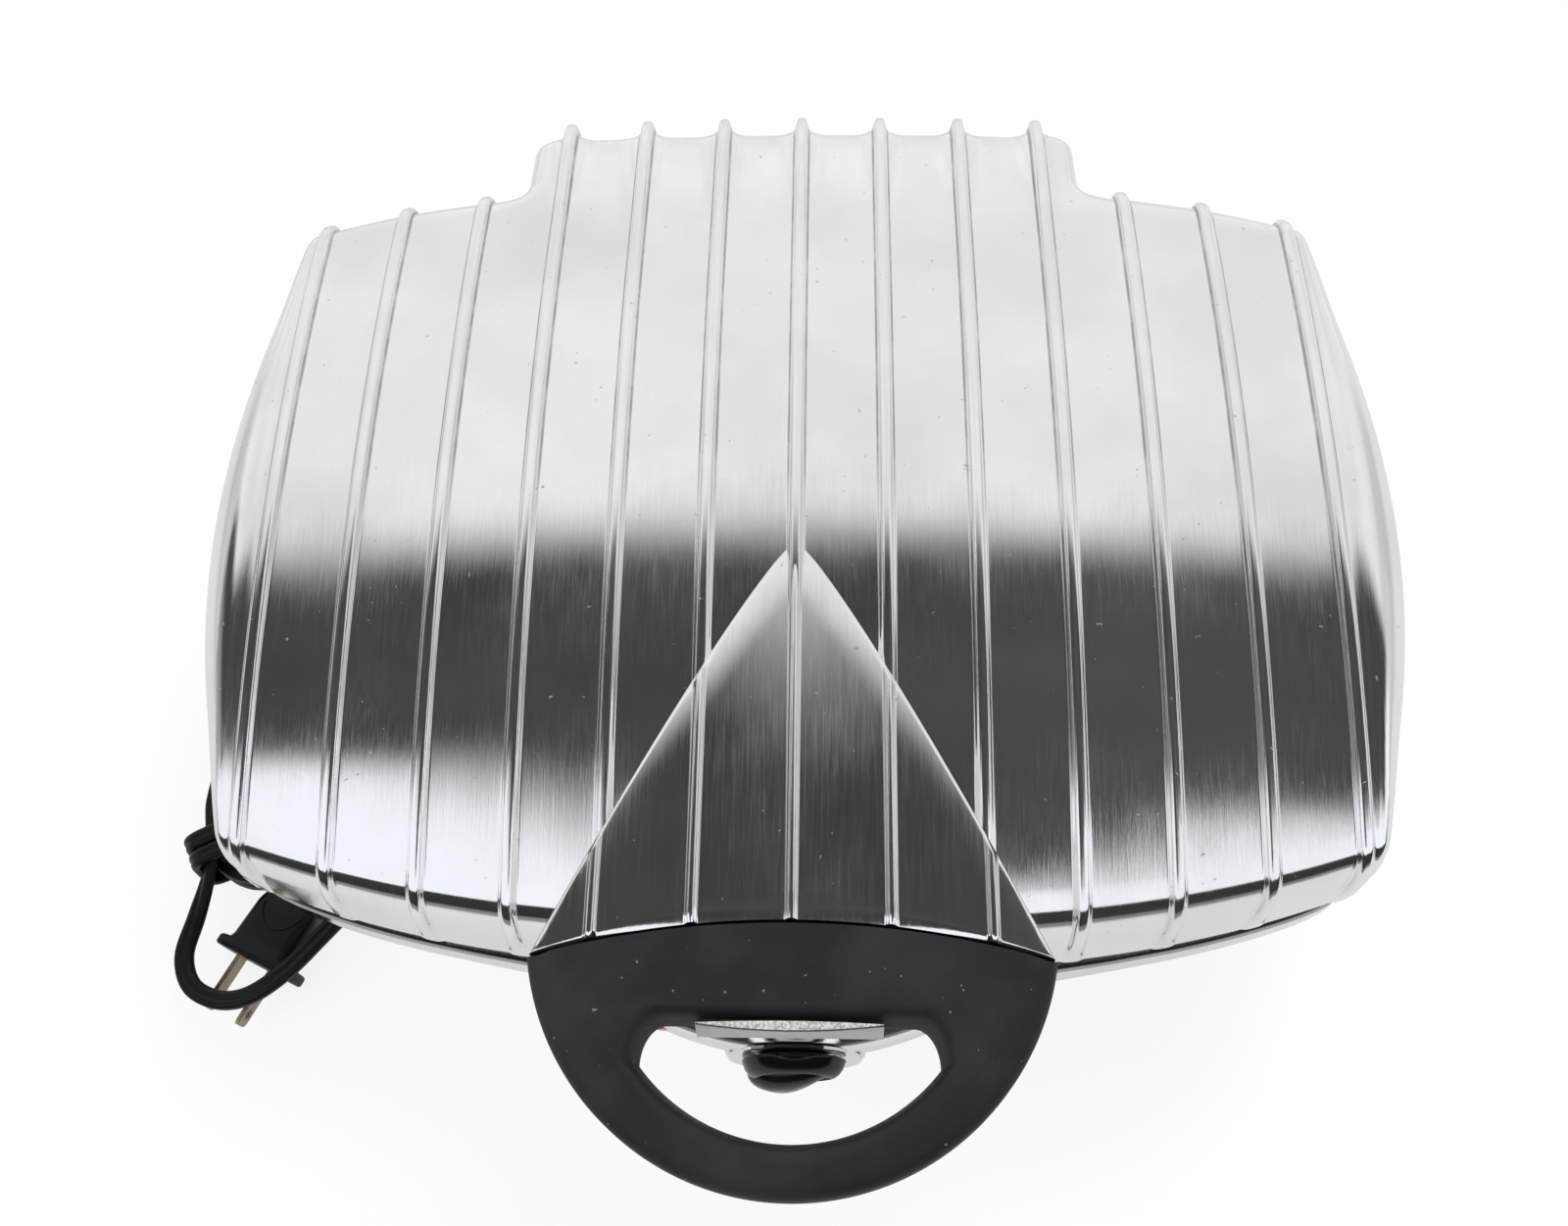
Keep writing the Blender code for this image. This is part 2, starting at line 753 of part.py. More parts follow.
def lid_shell():
    shell = lid_body("lid_shell", 0.0, LID_RIM_Z, True, POLISHED)
    combine(shell, prow_body("prow_outer", 0.0, PROW_BOTTOM_Z, True), "UNION")
    combine(shell, lid_body("lid_hollow", LID_WALL, LID_RIM_Z - OVERRUN, False))
    combine(shell, prow_body("prow_hollow", PROW_WALL, PROW_BOTTOM_Z + PROW_WALL, False))
    for sign in (-1, 1):
        lug_x = sign * (LEG_X - (LEG_SHEET + LUG_SHEET) / 2 - RUN_GAP)
        top = lid_height(LEG_X, PIN_Y) - LID_WALL / 2
        outline = [(PIN_Y - LUG_HALF_DEPTH, top)]
        for i in range(9):
            angle = math.pi + math.pi * i / 8
            outline.append((PIN_Y + LUG_HALF_DEPTH * math.cos(angle),
                            PIN_Z + LUG_HALF_DEPTH * math.sin(angle)))
        outline.append((PIN_Y + LUG_HALF_DEPTH, top))
        low_x, high_x = lug_x - LUG_SHEET / 2, lug_x + LUG_SHEET / 2
        combine(shell, side_plate("lug_guide", outline, low_x, high_x), "UNION")
        for y in (POST_FRONT_Y, POST_REAR_Y):
            low = LINER_Z + LINER_SHEET + SEAT_GAP
            high = lid_height(POST_X, y) - LID_WALL / 2
            combine(shell, rod("post_guide", (sign * POST_X, y, low), (sign * POST_X, y, high),
                               POST_RADIUS), "UNION")
            combine(shell, rod("post_bore", (sign * POST_X, y, low - OVERRUN),
                               (sign * POST_X, y, low + SCREW_LENGTH),
                               SCREW_RADIUS + SCREW_BORE_GAP))
        screw_x = sign * HANDLE_SCREW_X
        rear = joint_arc(screw_x) + PROW_WALL + OVERRUN
        combine(shell, rod("handle_bore", (screw_x, rear, HANDLE_SCREW_Z),
                           (screw_x, rear - PROW_WALL - OVERRUN * 2, HANDLE_SCREW_Z),
                           HANDLE_SCREW_RADIUS + SCREW_BORE_GAP))
    pin_bore = PIN_RADIUS + SEAT_GAP
    combine(shell, rod("pin_bore", (-LEG_X, PIN_Y, PIN_Z), (LEG_X, PIN_Y, PIN_Z), pin_bore))
    return shell


# Handle and what it carries

def handle_outline(inset):
    """Half moon: a round front and an arched rear that follows the prow."""
    end_x = PROW_HALF_WIDTH + HANDLE_END_INSET
    end_y = joint_arc(end_x) - SEAT_GAP - inset
    radius = HANDLE_RADIUS - inset
    reach = math.asin(min((end_y - HANDLE_CENTRE_Y) / radius, 0))
    points = []
    for i in range(HANDLE_ARC_STEPS + 1):
        angle = math.pi - reach + (math.pi + 2 * reach) * i / HANDLE_ARC_STEPS
        points.append((radius * math.cos(angle), HANDLE_CENTRE_Y + radius * math.sin(angle)))
    last_x = points[-1][0]
    rear_steps = 8
    for i in range(1, rear_steps):
        x = last_x - 2 * last_x * i / rear_steps
        points.append((x, joint_arc(x) - SEAT_GAP - inset))
    return points


def grip_outline(outset):
    """D-shaped opening: a nearly straight rear edge and an arched front edge."""
    half = GRIP_HALF_WIDTH + outset
    rear = GRIP_REAR_Y + outset
    front = GRIP_FRONT_Y - outset
    corner_y = rear - GRIP_CORNER_DEPTH - outset
    sag = corner_y - front
    radius = (half ** 2 + sag ** 2) / (2 * sag)
    spread = math.asin(half / radius)
    points = []
    for i in range(GRIP_ARC_STEPS + 1):
        angle = -math.pi / 2 - spread + 2 * spread * i / GRIP_ARC_STEPS
        points.append((radius * math.cos(angle), front + radius + radius * math.sin(angle)))
    for sign in (1, -1):
        for i in range(GRIP_CORNER_STEPS):
            turn = math.pi / 2 * (i + 1) / GRIP_CORNER_STEPS
            if sign < 0:
                turn = math.pi / 2 * (GRIP_CORNER_STEPS - i) / GRIP_CORNER_STEPS
            points.append((sign * (half - GRIP_CORNER * (1 - math.cos(turn))),
                           corner_y + (GRIP_CORNER_DEPTH + outset) * math.sin(turn)))
    return points


def handle():
    low = HANDLE_TOP_Z - HANDLE_THICKNESS
    high = HANDLE_TOP_Z
    rings = [[(x, y, z) for x, y in handle_outline(inset)] for inset, z in (
        (HANDLE_EDGE, low), (0, low + HANDLE_EDGE), (0, high - HANDLE_EDGE), (HANDLE_EDGE, high))]
    body = loft("handle", rings, BLACK_PLASTIC)
    cuts = [[(x, y, z) for x, y in grip_outline(outset)] for outset, z in (
        (GRIP_FLARE * 2, low - OVERRUN), (GRIP_FLARE, low), (0, low + GRIP_FLARE),
        (0, high - GRIP_FLARE), (GRIP_FLARE, high), (GRIP_FLARE * 2, high + OVERRUN))]
    combine(body, loft("grip_cutter", cuts))
    for sign in (-1, 1):
        x = sign * HANDLE_SCREW_X
        start = joint_arc(x) + OVERRUN
        combine(body, rod("screw_cutter", (x, start, HANDLE_SCREW_Z),
                          (x, joint_arc(x) - HANDLE_SCREW_GRIP - SEAT_GAP, HANDLE_SCREW_Z),
                          HANDLE_SCREW_RADIUS + SCREW_BORE_GAP))
    return body


def nameplate():
    face = GRIP_REAR_Y - SEAT_GAP
    middle = HANDLE_TOP_Z - HANDLE_THICKNESS / 2
    outline = rounded_rectangle(-NAMEPLATE_WIDTH / 2, middle - NAMEPLATE_HEIGHT / 2,
                                NAMEPLATE_WIDTH / 2, middle + NAMEPLATE_HEIGHT / 2,
                                NAMEPLATE_HEIGHT / 4, 3)
    rings = [[(x, y, z) for x, z in outline] for y in (face, face - NAMEPLATE_THICKNESS)]
    return loft("nameplate", rings, SILVER)


def handle_screw(name, sign):
    x = sign * HANDLE_SCREW_X
    head_y = joint_arc(x) + PROW_WALL + RUN_GAP * 2
    length = PROW_WALL + RUN_GAP * 2 + HANDLE_SCREW_GRIP - SEAT_GAP
    profile = [(HANDLE_SCREW_HEAD, -HANDLE_SCREW_HEAD_HEIGHT), (HANDLE_SCREW_HEAD, 0),
               (HANDLE_SCREW_RADIUS, 0), (HANDLE_SCREW_RADIUS, length)]
    return turned(name, profile, (x, head_y, HANDLE_SCREW_Z), (0, -1, 0), STEEL, 12)


# Cooking plates and what heats and carries them

def plate_outline(margin, corner=PLATE_CORNER):
    return rounded_rectangle(-PLATE_HALF_WIDTH + margin, PLATE_FRONT_Y + margin,
                             PLATE_HALF_WIDTH - margin, PLATE_REAR_Y - margin, corner - margin)


def ridge_bars(name, root_z, tip_z):
    """Parallel tapered bars along Y, kept inside the plate's corners."""
    vertices = []
    faces = []
    for k in range(RIDGE_COUNT):
        x = (k - (RIDGE_COUNT - 1) / 2) * RIDGE_PITCH
        inset = RIDGE_MARGIN
        over = abs(x) + RIDGE_FOOT / 2 - (PLATE_HALF_WIDTH - PLATE_CORNER)
        if over > 0:
            inset += PLATE_CORNER - math.sqrt(max(PLATE_CORNER ** 2 - over ** 2, 0))
        first = len(vertices)
        for y in (PLATE_FRONT_Y + inset, PLATE_REAR_Y - inset):
            for half, z in ((RIDGE_FOOT / 2, root_z), (RIDGE_CROWN / 2, tip_z)):
                vertices += [(x - half, y, z), (x + half, y, z)]
        for quad in ((0, 1, 3, 2), (4, 6, 7, 5), (0, 4, 5, 1), (2, 3, 7, 6), (0, 2, 6, 4), (1, 5, 7, 3)):
            faces.append(tuple(first + i for i in quad))
    return solid(name, vertices, faces, smooth=False)


def lower_plate():
    seat = BASE_RIM_Z + SEAT_GAP
    top = seat + PLATE_FLANGE
    plate = prism("lower_plate", plate_outline(0), seat, top, NON_STICK)
    body = plate_outline(PLATE_LEDGE + RUN_GAP)
    combine(plate, prism("lower_body", body, seat - PLATE_BODY, seat + PLATE_FLANGE / 3), "UNION")
    combine(plate, prism("lower_well", plate_outline(PLATE_LEDGE), top - PLATE_WELL, top + OVERRUN))
    combine(plate, ridge_bars("lower_ridges", top - PLATE_WELL * 1.3, top), "UNION")
    combine(plate, rod("drain_cutter", (0, SPOUT_Y, seat - PLATE_BODY - OVERRUN),
                       (0, SPOUT_Y, top + OVERRUN), SPOUT_BORE, None, 12))
    return plate


def upper_plate():
    tip = BASE_RIM_Z + SEAT_GAP + PLATE_FLANGE + SEAT_GAP
    root = tip + PLATE_WELL
    top = root + PLATE_BODY
    plate = prism("upper_plate", plate_outline(0), root, top, NON_STICK)
    combine(plate, ridge_bars("upper_ridges", root + PLATE_WELL * 0.3, tip), "UNION")
    pan = LINER_Z + LINER_DEPTH
    for x in (-UPPER_BOSS_X, UPPER_BOSS_X):
        for y in (UPPER_BOSS_FRONT_Y, UPPER_BOSS_REAR_Y):
            combine(plate, rod("upper_boss", (x, y, top - PLATE_BODY / 2), (x, y, pan - SEAT_GAP),
                               UPPER_BOSS_RADIUS, None, 12), "UNION")
    return plate


def heater_route(z):
    """One bent tube: two long runs joined at the front, with ends turned in at the rear."""
    corners = [(-HEATER_LEG_X, HEATER_REAR_Y - HEATER_BEND * 2), (-HEATER_LEG_X, HEATER_REAR_Y),
               (-HEATER_HALF_WIDTH, HEATER_REAR_Y), (-HEATER_HALF_WIDTH, HEATER_FRONT_Y),
               (HEATER_HALF_WIDTH, HEATER_FRONT_Y), (HEATER_HALF_WIDTH, HEATER_REAR_Y),
               (HEATER_LEG_X, HEATER_REAR_Y), (HEATER_LEG_X, HEATER_REAR_Y - HEATER_BEND * 2)]
    points = [corners[0]]
    for before, corner, after in zip(corners, corners[1:], corners[2:]):
        corner = Vector(corner)
        back = (Vector(before) - corner).normalized()
        ahead = (Vector(after) - corner).normalized()
        centre = corner + (back + ahead) * HEATER_BEND
        for i in range(BEND_STEPS + 1):
            angle = math.pi / 2 * i / BEND_STEPS
            points.append(tuple(centre - ahead * HEATER_BEND * math.cos(angle)
                                - back * HEATER_BEND * math.sin(angle)))
    points.append(corners[-1])
    return [(x, y, z) for x, y in points]


def lower_reflector():
    """Open pan that hangs from the underside of the deck."""
    top = BASE_RIM_Z - BASE_DECK - SEAT_GAP
    margin = PLATE_LEDGE - REFLECTOR_MARGIN
    pan = prism("lower_reflector", plate_outline(margin - REFLECTOR_FLANGE), top - REFLECTOR_SHEET,
                top, GALVANISED)
    combine(pan, prism("pan_outer", plate_outline(margin), top - REFLECTOR_DEPTH,
                       top - REFLECTOR_SHEET / 2), "UNION")
    combine(pan, prism("pan_inner", plate_outline(margin + REFLECTOR_SHEET),
                       top - REFLECTOR_DEPTH + REFLECTOR_SHEET, top + OVERRUN))
    low = (0, SPOUT_Y, top - REFLECTOR_DEPTH - OVERRUN)
    combine(pan, rod("spout_cutter", low, (0, SPOUT_Y, top + OVERRUN), SPOUT_RADIUS + RUN_GAP))
    return pan


def liner_outline():
    inset = LID_WALL + LINER_EDGE_GAP + BASE_PROUD
    return outline_ring(inset, CHIN_RADIUS, inset, LINER_POINTS, LINER_REAR_Y)


def lid_liner():
    liner = prism("lid_liner", liner_outline(), LINER_Z, LINER_Z + LINER_SHEET, GALVANISED)
    top = LINER_Z + LINER_DEPTH + LINER_SHEET
    outer = -LINER_MARGIN - LINER_SHEET
    combine(liner, prism("liner_box", plate_outline(outer), LINER_Z + LINER_SHEET / 2, top), "UNION")
    combine(liner, prism("liner_inside", plate_outline(-LINER_MARGIN), LINER_Z - OVERRUN,
                         LINER_Z + LINER_DEPTH))
    for x in (-POST_X, POST_X):
        for y in (POST_FRONT_Y, POST_REAR_Y):
            combine(liner, rod("liner_bore", (x, y, LINER_Z - OVERRUN), (x, y, LINER_Z + OVERRUN),
                               SCREW_RADIUS + SCREW_BORE_GAP, None, 12))
    return liner


def screw(name, x, y, seat, upward, finish=STEEL):
    """Round-headed screw: its head bears on the seat and its shank goes up."""
    head = seat - SEAT_GAP * upward
    profile = [(SCREW_HEAD_RADIUS * 0.6, -SCREW_HEAD_HEIGHT), (SCREW_HEAD_RADIUS, -SCREW_HEAD_HEIGHT / 2),
               (SCREW_HEAD_RADIUS, 0), (SCREW_RADIUS, 0), (SCREW_RADIUS, SCREW_LENGTH)]
    return turned(name, profile, (x, y, head), (0, 0, upward), finish, 12)


# Base

def base_rings(extra, levels):
    height = BASE_RIM_Z - FOOT_HEIGHT
    rings = []
    for level in levels:
        z = FOOT_HEIGHT + height * BASE_LEVEL_SHARES[level]
        inset = BASE_UNDERCUT * BASE_INSET_SHARES[level] - BASE_PROUD + extra
        chin = CHIN_UNDERCUT * CHIN_INSET_SHARES[level] + extra
        rear = REAR_UNDERCUT * BASE_INSET_SHARES[level] + extra
        ring = outline_ring(inset, chin, rear, BASE_POINTS)
        rings.append([(x, y, z) for x, y in ring])
    return rings


def at_height(ring, z):
    return [(x, y, z) for x, y, _ in ring]


def leg_window(sign, clearance):
    low_x = sign * LEG_X - LEG_SHEET / 2 - clearance
    high_x = sign * LEG_X + LEG_SHEET / 2 + clearance
    return low_x, LEG_FRONT_Y - clearance, high_x, LEG_FRONT_Y + LEG_DEPTH + clearance


def base_shell():
    rings = base_rings(0.0, range(len(BASE_LEVEL_SHARES)))
    shell = loft("base_shell", rings, POLISHED)
    inner = base_rings(BASE_WALL, range(len(BASE_LEVEL_SHARES) - 1))
    inner[0] = at_height(inner[0], FOOT_HEIGHT - OVERRUN)
    inner.insert(1, at_height(inner[0], FOOT_HEIGHT + COVER_SHEET))
    inner[-1] = at_height(inner[-1], BASE_RIM_Z - BASE_DECK)
    combine(shell, rod("dial_boss", (0, DIAL_Y + DIAL_BOSS_DEPTH, KNOB_Z), (0, DIAL_Y, KNOB_Z),
                       DIAL_BOSS_RADIUS, None, KNOB_STEPS), "UNION")
    combine(shell, rod("gland_boss", (GLAND_X, gland_seat(), GLAND_Z),
                       (GLAND_X, gland_seat() - GLAND_BOSS - BASE_WALL, GLAND_Z), GLAND_BOSS_RADIUS),
            "UNION")
    combine(shell, rod("spot_face", (0, DIAL_Y, KNOB_Z), (0, DIAL_Y - OVERRUN * 2, KNOB_Z),
                       (DIAL_BOSS_RADIUS + DIAL_RADIUS) / 2, None, KNOB_STEPS))
    combine(shell, loft("base_hollow", inner))
    opening = plate_outline(PLATE_LEDGE)
    combine(shell, prism("plate_opening", opening, BASE_RIM_Z - BASE_DECK - OVERRUN,
                         BASE_RIM_Z + OVERRUN))
    for sign in (-1, 1):
        low_x, low_y, high_x, high_y = leg_window(sign, RUN_GAP * 2)
        combine(shell, box("leg_slot", (low_x, low_y, BASE_RIM_Z - BASE_DECK - OVERRUN),
                           (high_x, high_y, BASE_RIM_Z + OVERRUN)))
        x = sign * LAMP_X
        combine(shell, rod("lamp_bore", (x, chin_edge(x) - OVERRUN, LAMP_Z),
                           (x, chin_edge(x) + BASE_WALL + OVERRUN * 2, LAMP_Z),
                           LAMP_RADIUS + SEAT_GAP, None, 12))
        for y in (BOSS_FRONT_Y, BOSS_REAR_Y):
            low = FOOT_HEIGHT + COVER_SHEET + SEAT_GAP * 2
            combine(shell, rod("cover_boss", (sign * BOSS_X, y, low),
                               (sign * BOSS_X, y, BASE_RIM_Z - BASE_DECK / 2), BOSS_RADIUS, None,
                               12), "UNION")
            combine(shell, rod("cover_bore", (sign * BOSS_X, y, low - OVERRUN),
                               (sign * BOSS_X, y, low + SCREW_LENGTH), SCREW_RADIUS + SCREW_BORE_GAP,
                               None, 12))
    combine(shell, rod("shaft_bore", (0, DIAL_Y - OVERRUN, KNOB_Z), (0, DIAL_Y + OVERRUN * 5, KNOB_Z),
                       SHAFT_RADIUS + SHAFT_BORE_GAP, None, 12))
    rear = RECESS_Y + OVERRUN
    combine(shell, box("tray_window", (-TRAY_HALF_WIDTH - RUN_GAP, RECESS_Y - BASE_WALL - OVERRUN * 2,
                                       TRAY_Z - RUN_GAP),
                       (TRAY_HALF_WIDTH + RUN_GAP, rear, TRAY_Z + TRAY_HEIGHT + RUN_GAP)))
    combine(shell, rod("gland_bore", (GLAND_X, gland_seat() + OVERRUN * 2, GLAND_Z),
                       (GLAND_X, gland_seat() - BASE_WALL - OVERRUN * 2, GLAND_Z),
                       GLAND_RADIUS + SEAT_GAP))
    return shell


def gland_seat():
    """Place of the flat boss on the rear wall that the gland's collar bears on."""
    share = (GLAND_Z - FOOT_HEIGHT) / (BASE_RIM_Z - FOOT_HEIGHT)
    for i in range(len(BASE_LEVEL_SHARES) - 1):
        low, high = BASE_LEVEL_SHARES[i], BASE_LEVEL_SHARES[i + 1]
        if low <= share <= high:
            part = (share - low) / (high - low)
            inset = BASE_INSET_SHARES[i] * (1 - part) + BASE_INSET_SHARES[i + 1] * part
            return recessed_rear(GLAND_X) - REAR_UNDERCUT * inset + GLAND_BOSS
    return recessed_rear(GLAND_X) + GLAND_BOSS


def bottom_cover():
    inset = BASE_UNDERCUT - BASE_PROUD + BASE_WALL + COVER_EDGE_GAP
    chin = CHIN_UNDERCUT + BASE_WALL + COVER_EDGE_GAP
    rear = REAR_UNDERCUT + BASE_WALL + COVER_EDGE_GAP
    outline = outline_ring(inset, chin, rear, BASE_POINTS)
    cover = prism("bottom_cover", outline, FOOT_HEIGHT, FOOT_HEIGHT + COVER_SHEET, GALVANISED)
    for k in range(VENT_COUNT):
        x = (k - (VENT_COUNT - 1) / 2) * VENT_PITCH
        combine(cover, box("vent_cutter", (x - VENT_WIDTH / 2, VENT_Y - VENT_LENGTH / 2,
                                           FOOT_HEIGHT - OVERRUN),
                           (x + VENT_WIDTH / 2, VENT_Y + VENT_LENGTH / 2, FOOT_HEIGHT + OVERRUN)))
    for x in (-BOSS_X, BOSS_X):
        for y in (BOSS_FRONT_Y, BOSS_REAR_Y):
            combine(cover, rod("cover_hole", (x, y, FOOT_HEIGHT - OVERRUN), (x, y, FOOT_HEIGHT + OVERRUN),
                               SCREW_RADIUS + SCREW_BORE_GAP, None, 12))
    return cover


def foot(name, x, y):
    top = FOOT_HEIGHT - SEAT_GAP
    profile = [(FOOT_RADIUS * 0.92, 0), (FOOT_RADIUS, top * 0.12), (FOOT_RADIUS, top * 0.45),
               (FOOT_NECK, top)]
    return turned(name, profile, (x, y, 0), (0, 0, 1), RUBBER, 20)


# Drip tray

def tray_rear():
    return RECESS_Y + SEAT_GAP


def drip_tray():
    low = TRAY_Z
    high = TRAY_Z + TRAY_HEIGHT - RUN_GAP
    rear = tray_rear()
    tray = box("drip_tray", (-TRAY_HALF_WIDTH, TRAY_FRONT_Y, low), (TRAY_HALF_WIDTH, rear + TRAY_FACE / 2,
                                                                    high), GALVANISED)
    over = TRAY_FACE_OVERLAP
    combine(tray, box("tray_face", (-TRAY_HALF_WIDTH - over, rear, low - over / 4),
                      (TRAY_HALF_WIDTH + over, rear + TRAY_FACE, high + over)), "UNION")
    combine(tray, box("tray_inside", (-TRAY_HALF_WIDTH + TRAY_WALL, TRAY_FRONT_Y + TRAY_WALL,
                                      low + TRAY_WALL),
                      (TRAY_HALF_WIDTH - TRAY_WALL, rear - TRAY_WALL, high + OVERRUN)))
    middle = (low + high) / 2
    pull = [(rear + TRAY_FACE / 2, middle - TRAY_PULL_HEIGHT / 2),
            (rear + TRAY_FACE + TRAY_PULL_DEPTH, middle - TRAY_PULL_HEIGHT / 2),
            (rear + TRAY_FACE + TRAY_PULL_DEPTH, middle + TRAY_PULL_HEIGHT / 2),
            (rear + TRAY_FACE / 2, middle + TRAY_PULL_HEIGHT / 2)]
    combine(tray, side_plate("tray_pull", pull, -TRAY_PULL_WIDTH / 2, TRAY_PULL_WIDTH / 2), "UNION")
    return tray


def tray_runner(name, sign):
    """Angle rail: a foot on the cover, an upright beside the tray and a ledge under it."""
    bottom = FOOT_HEIGHT + COVER_SHEET + SEAT_GAP
    ledge = TRAY_Z - SEAT_GAP
    wall = TRAY_HALF_WIDTH + RUN_GAP
    top = TRAY_Z + TRAY_HEIGHT / 2
    outline = [(wall - RUNNER_LEDGE, bottom), (wall + RUNNER_SHEET, bottom), (wall + RUNNER_SHEET, top),
               (wall, top), (wall, ledge), (wall - RUNNER_LEDGE, ledge)]
    if sign < 0:
        outline = [(-x, z) for x, z in reversed(outline)]
    rear = RECESS_Y - REAR_UNDERCUT - BASE_WALL - RUN_GAP * 2
    rings = [[(x, y, z) for x, z in outline] for y in (TRAY_FRONT_Y, rear)]
    return loft(name, rings, GALVANISED)


def drain_spout():
    top = BASE_RIM_Z + SEAT_GAP - PLATE_BODY - SEAT_GAP
    bottom = TRAY_Z + TRAY_HEIGHT + SPOUT_END_GAP
    spout = rod("drain_spout", (0, SPOUT_Y, bottom), (0, SPOUT_Y, top), SPOUT_RADIUS, GALVANISED)
    combine(spout, rod("spout_bore", (0, SPOUT_Y, bottom - OVERRUN), (0, SPOUT_Y, top + OVERRUN),
                       SPOUT_BORE, None, 12))
    return spout


# Hinge

def hinge_leg(name, sign):
    """Upright bar with an arm to the rear that ends in an eye for the pin."""
    rear = LEG_FRONT_Y + LEG_DEPTH
    arm_low = PIN_Z - LEG_ARM_DROP
    outline = [(LEG_FRONT_Y, LEG_BOTTOM_Z), (rear, LEG_BOTTOM_Z), (rear, arm_low - LEG_DEPTH / 2),
               (rear + LEG_DEPTH / 2, arm_low)]
    for i in range(9):
        angle = -math.pi * 0.62 + math.pi * 1.12 * i / 8
        outline.append((PIN_Y + EYE_RADIUS * math.cos(angle), PIN_Z + EYE_RADIUS * math.sin(angle)))
    outline.append((LEG_FRONT_Y + LEG_DEPTH / 2, PIN_Z + LEG_DEPTH / 2))
    outline.append((LEG_FRONT_Y, PIN_Z))
    x = sign * LEG_X
    leg = side_plate(name, outline, x - LEG_SHEET / 2, x + LEG_SHEET / 2, STEEL)
    combine(leg, rod("eye_bore", (x - LEG_SHEET, PIN_Y, PIN_Z), (x + LEG_SHEET, PIN_Y, PIN_Z),
                     PIN_RADIUS + SEAT_GAP))
    return leg


def hinge_guide(name, sign):
    """Block on the inside of the rear wall with an upright slot for the leg."""
    low_x, low_y, high_x, high_y = leg_window(sign, SEAT_GAP * 2)
    x = sign * LEG_X
    rear = RECESS_Y - REAR_UNDERCUT * BASE_INSET_SHARES[3] - BASE_WALL - SEAT_GAP
    block = box(name, (x - GUIDE_HALF_WIDTH, GUIDE_FRONT_Y, GUIDE_BOTTOM_Z),
                (x + GUIDE_HALF_WIDTH, rear, GUIDE_TOP_Z), STEEL)
    combine(block, box("guide_slot", (low_x, low_y, GUIDE_BOTTOM_Z - OVERRUN),
                       (high_x, high_y, GUIDE_TOP_Z + OVERRUN)))
    return block


def hinge_pin():
    groove = PIN_HALF_LENGTH - CLIP_INSET
    pin = rod("hinge_pin", (-PIN_HALF_LENGTH, PIN_Y, PIN_Z), (PIN_HALF_LENGTH, PIN_Y, PIN_Z),
              PIN_RADIUS, STEEL)
    return pin, groove


def hinge_clip(name, sign, groove):
    start = (sign * groove - CLIP_SHEET / 2, PIN_Y, PIN_Z)
    end = (sign * groove + CLIP_SHEET / 2, PIN_Y, PIN_Z)
    clip = rod(name, start, end, CLIP_RADIUS, STEEL)
    combine(clip, rod("clip_bore", (start[0] - CLIP_SHEET, PIN_Y, PIN_Z),
                      (end[0] + CLIP_SHEET, PIN_Y, PIN_Z), PIN_RADIUS + SEAT_GAP / 2))
    return clip


# Controls

def dial_plate():
    plate = rod("dial_plate", (0, DIAL_Y - SEAT_GAP, KNOB_Z), (0, DIAL_Y - SEAT_GAP - DIAL_SHEET, KNOB_Z),
                DIAL_RADIUS, SILVER, KNOB_STEPS)
    combine(plate, rod("dial_bore", (0, DIAL_Y, KNOB_Z), (0, DIAL_Y - DIAL_SHEET - OVERRUN, KNOB_Z),
                       SHAFT_RADIUS + SHAFT_BORE_GAP, None, 12))
    return plate


def knob_back():
    return DIAL_Y - SEAT_GAP - DIAL_SHEET - RUN_GAP


def knob():
    back = knob_back()
    profile = [(KNOB_RADIUS, 0), (KNOB_RADIUS, KNOB_SKIRT * 0.5), (KNOB_RADIUS * 0.94, KNOB_SKIRT * 0.85),
               (KNOB_CORE_RADIUS, KNOB_SKIRT)]
    body = turned("knob", profile, (0, back, KNOB_Z), (0, -1, 0), GLOSS_BLACK, KNOB_STEPS)
    front = back - KNOB_DEPTH
    half = KNOB_GRIP_WIDTH / 2
    reach = KNOB_RADIUS * 0.96
    rings = []
    for y, width, length in ((back - KNOB_SKIRT / 2, half, reach), (front + half * 0.4, half * 0.85, reach),
                             (front, half * 0.5, reach * 0.93)):
        outline = rounded_rectangle(-width, -length, width, length, width * 0.9, 3)
        rings.append([(x * math.cos(KNOB_TURN) + z * math.sin(KNOB_TURN), y,
                       KNOB_Z + z * math.cos(KNOB_TURN) - x * math.sin(KNOB_TURN)) for x, z in outline])
    combine(body, loft("knob_grip", rings), "UNION")
    combine(body, rod("knob_bore", (0, back + OVERRUN, KNOB_Z), (0, back - SHAFT_GRIP, KNOB_Z),
                      SHAFT_RADIUS + SEAT_GAP, None, 12))
    return body


def thermostat_face():
    """Inner face of the chin wall at the height of the shaft, behind the dial boss."""
    return DIAL_Y + DIAL_BOSS_DEPTH + SEAT_GAP


def knob_shaft():
    start = knob_back() - SHAFT_GRIP + SEAT_GAP
    end = thermostat_face() + THERMOSTAT_SHAFT_GRIP - SEAT_GAP
    return rod("knob_shaft", (0, start, KNOB_Z), (0, end, KNOB_Z), SHAFT_RADIUS, STEEL, 12)


def thermostat():
    face = thermostat_face()
    body = box("thermostat", (-THERMOSTAT_WIDTH / 2, face, KNOB_Z - THERMOSTAT_HEIGHT / 2),
               (THERMOSTAT_WIDTH / 2, face + THERMOSTAT_DEPTH, KNOB_Z + THERMOSTAT_HEIGHT / 2), CERAMIC)
    combine(body, rod("thermostat_bore", (0, face - OVERRUN, KNOB_Z),
                      (0, face + THERMOSTAT_SHAFT_GRIP, KNOB_Z), SHAFT_RADIUS + SHAFT_BORE_GAP,
                      None, 12))
    return body


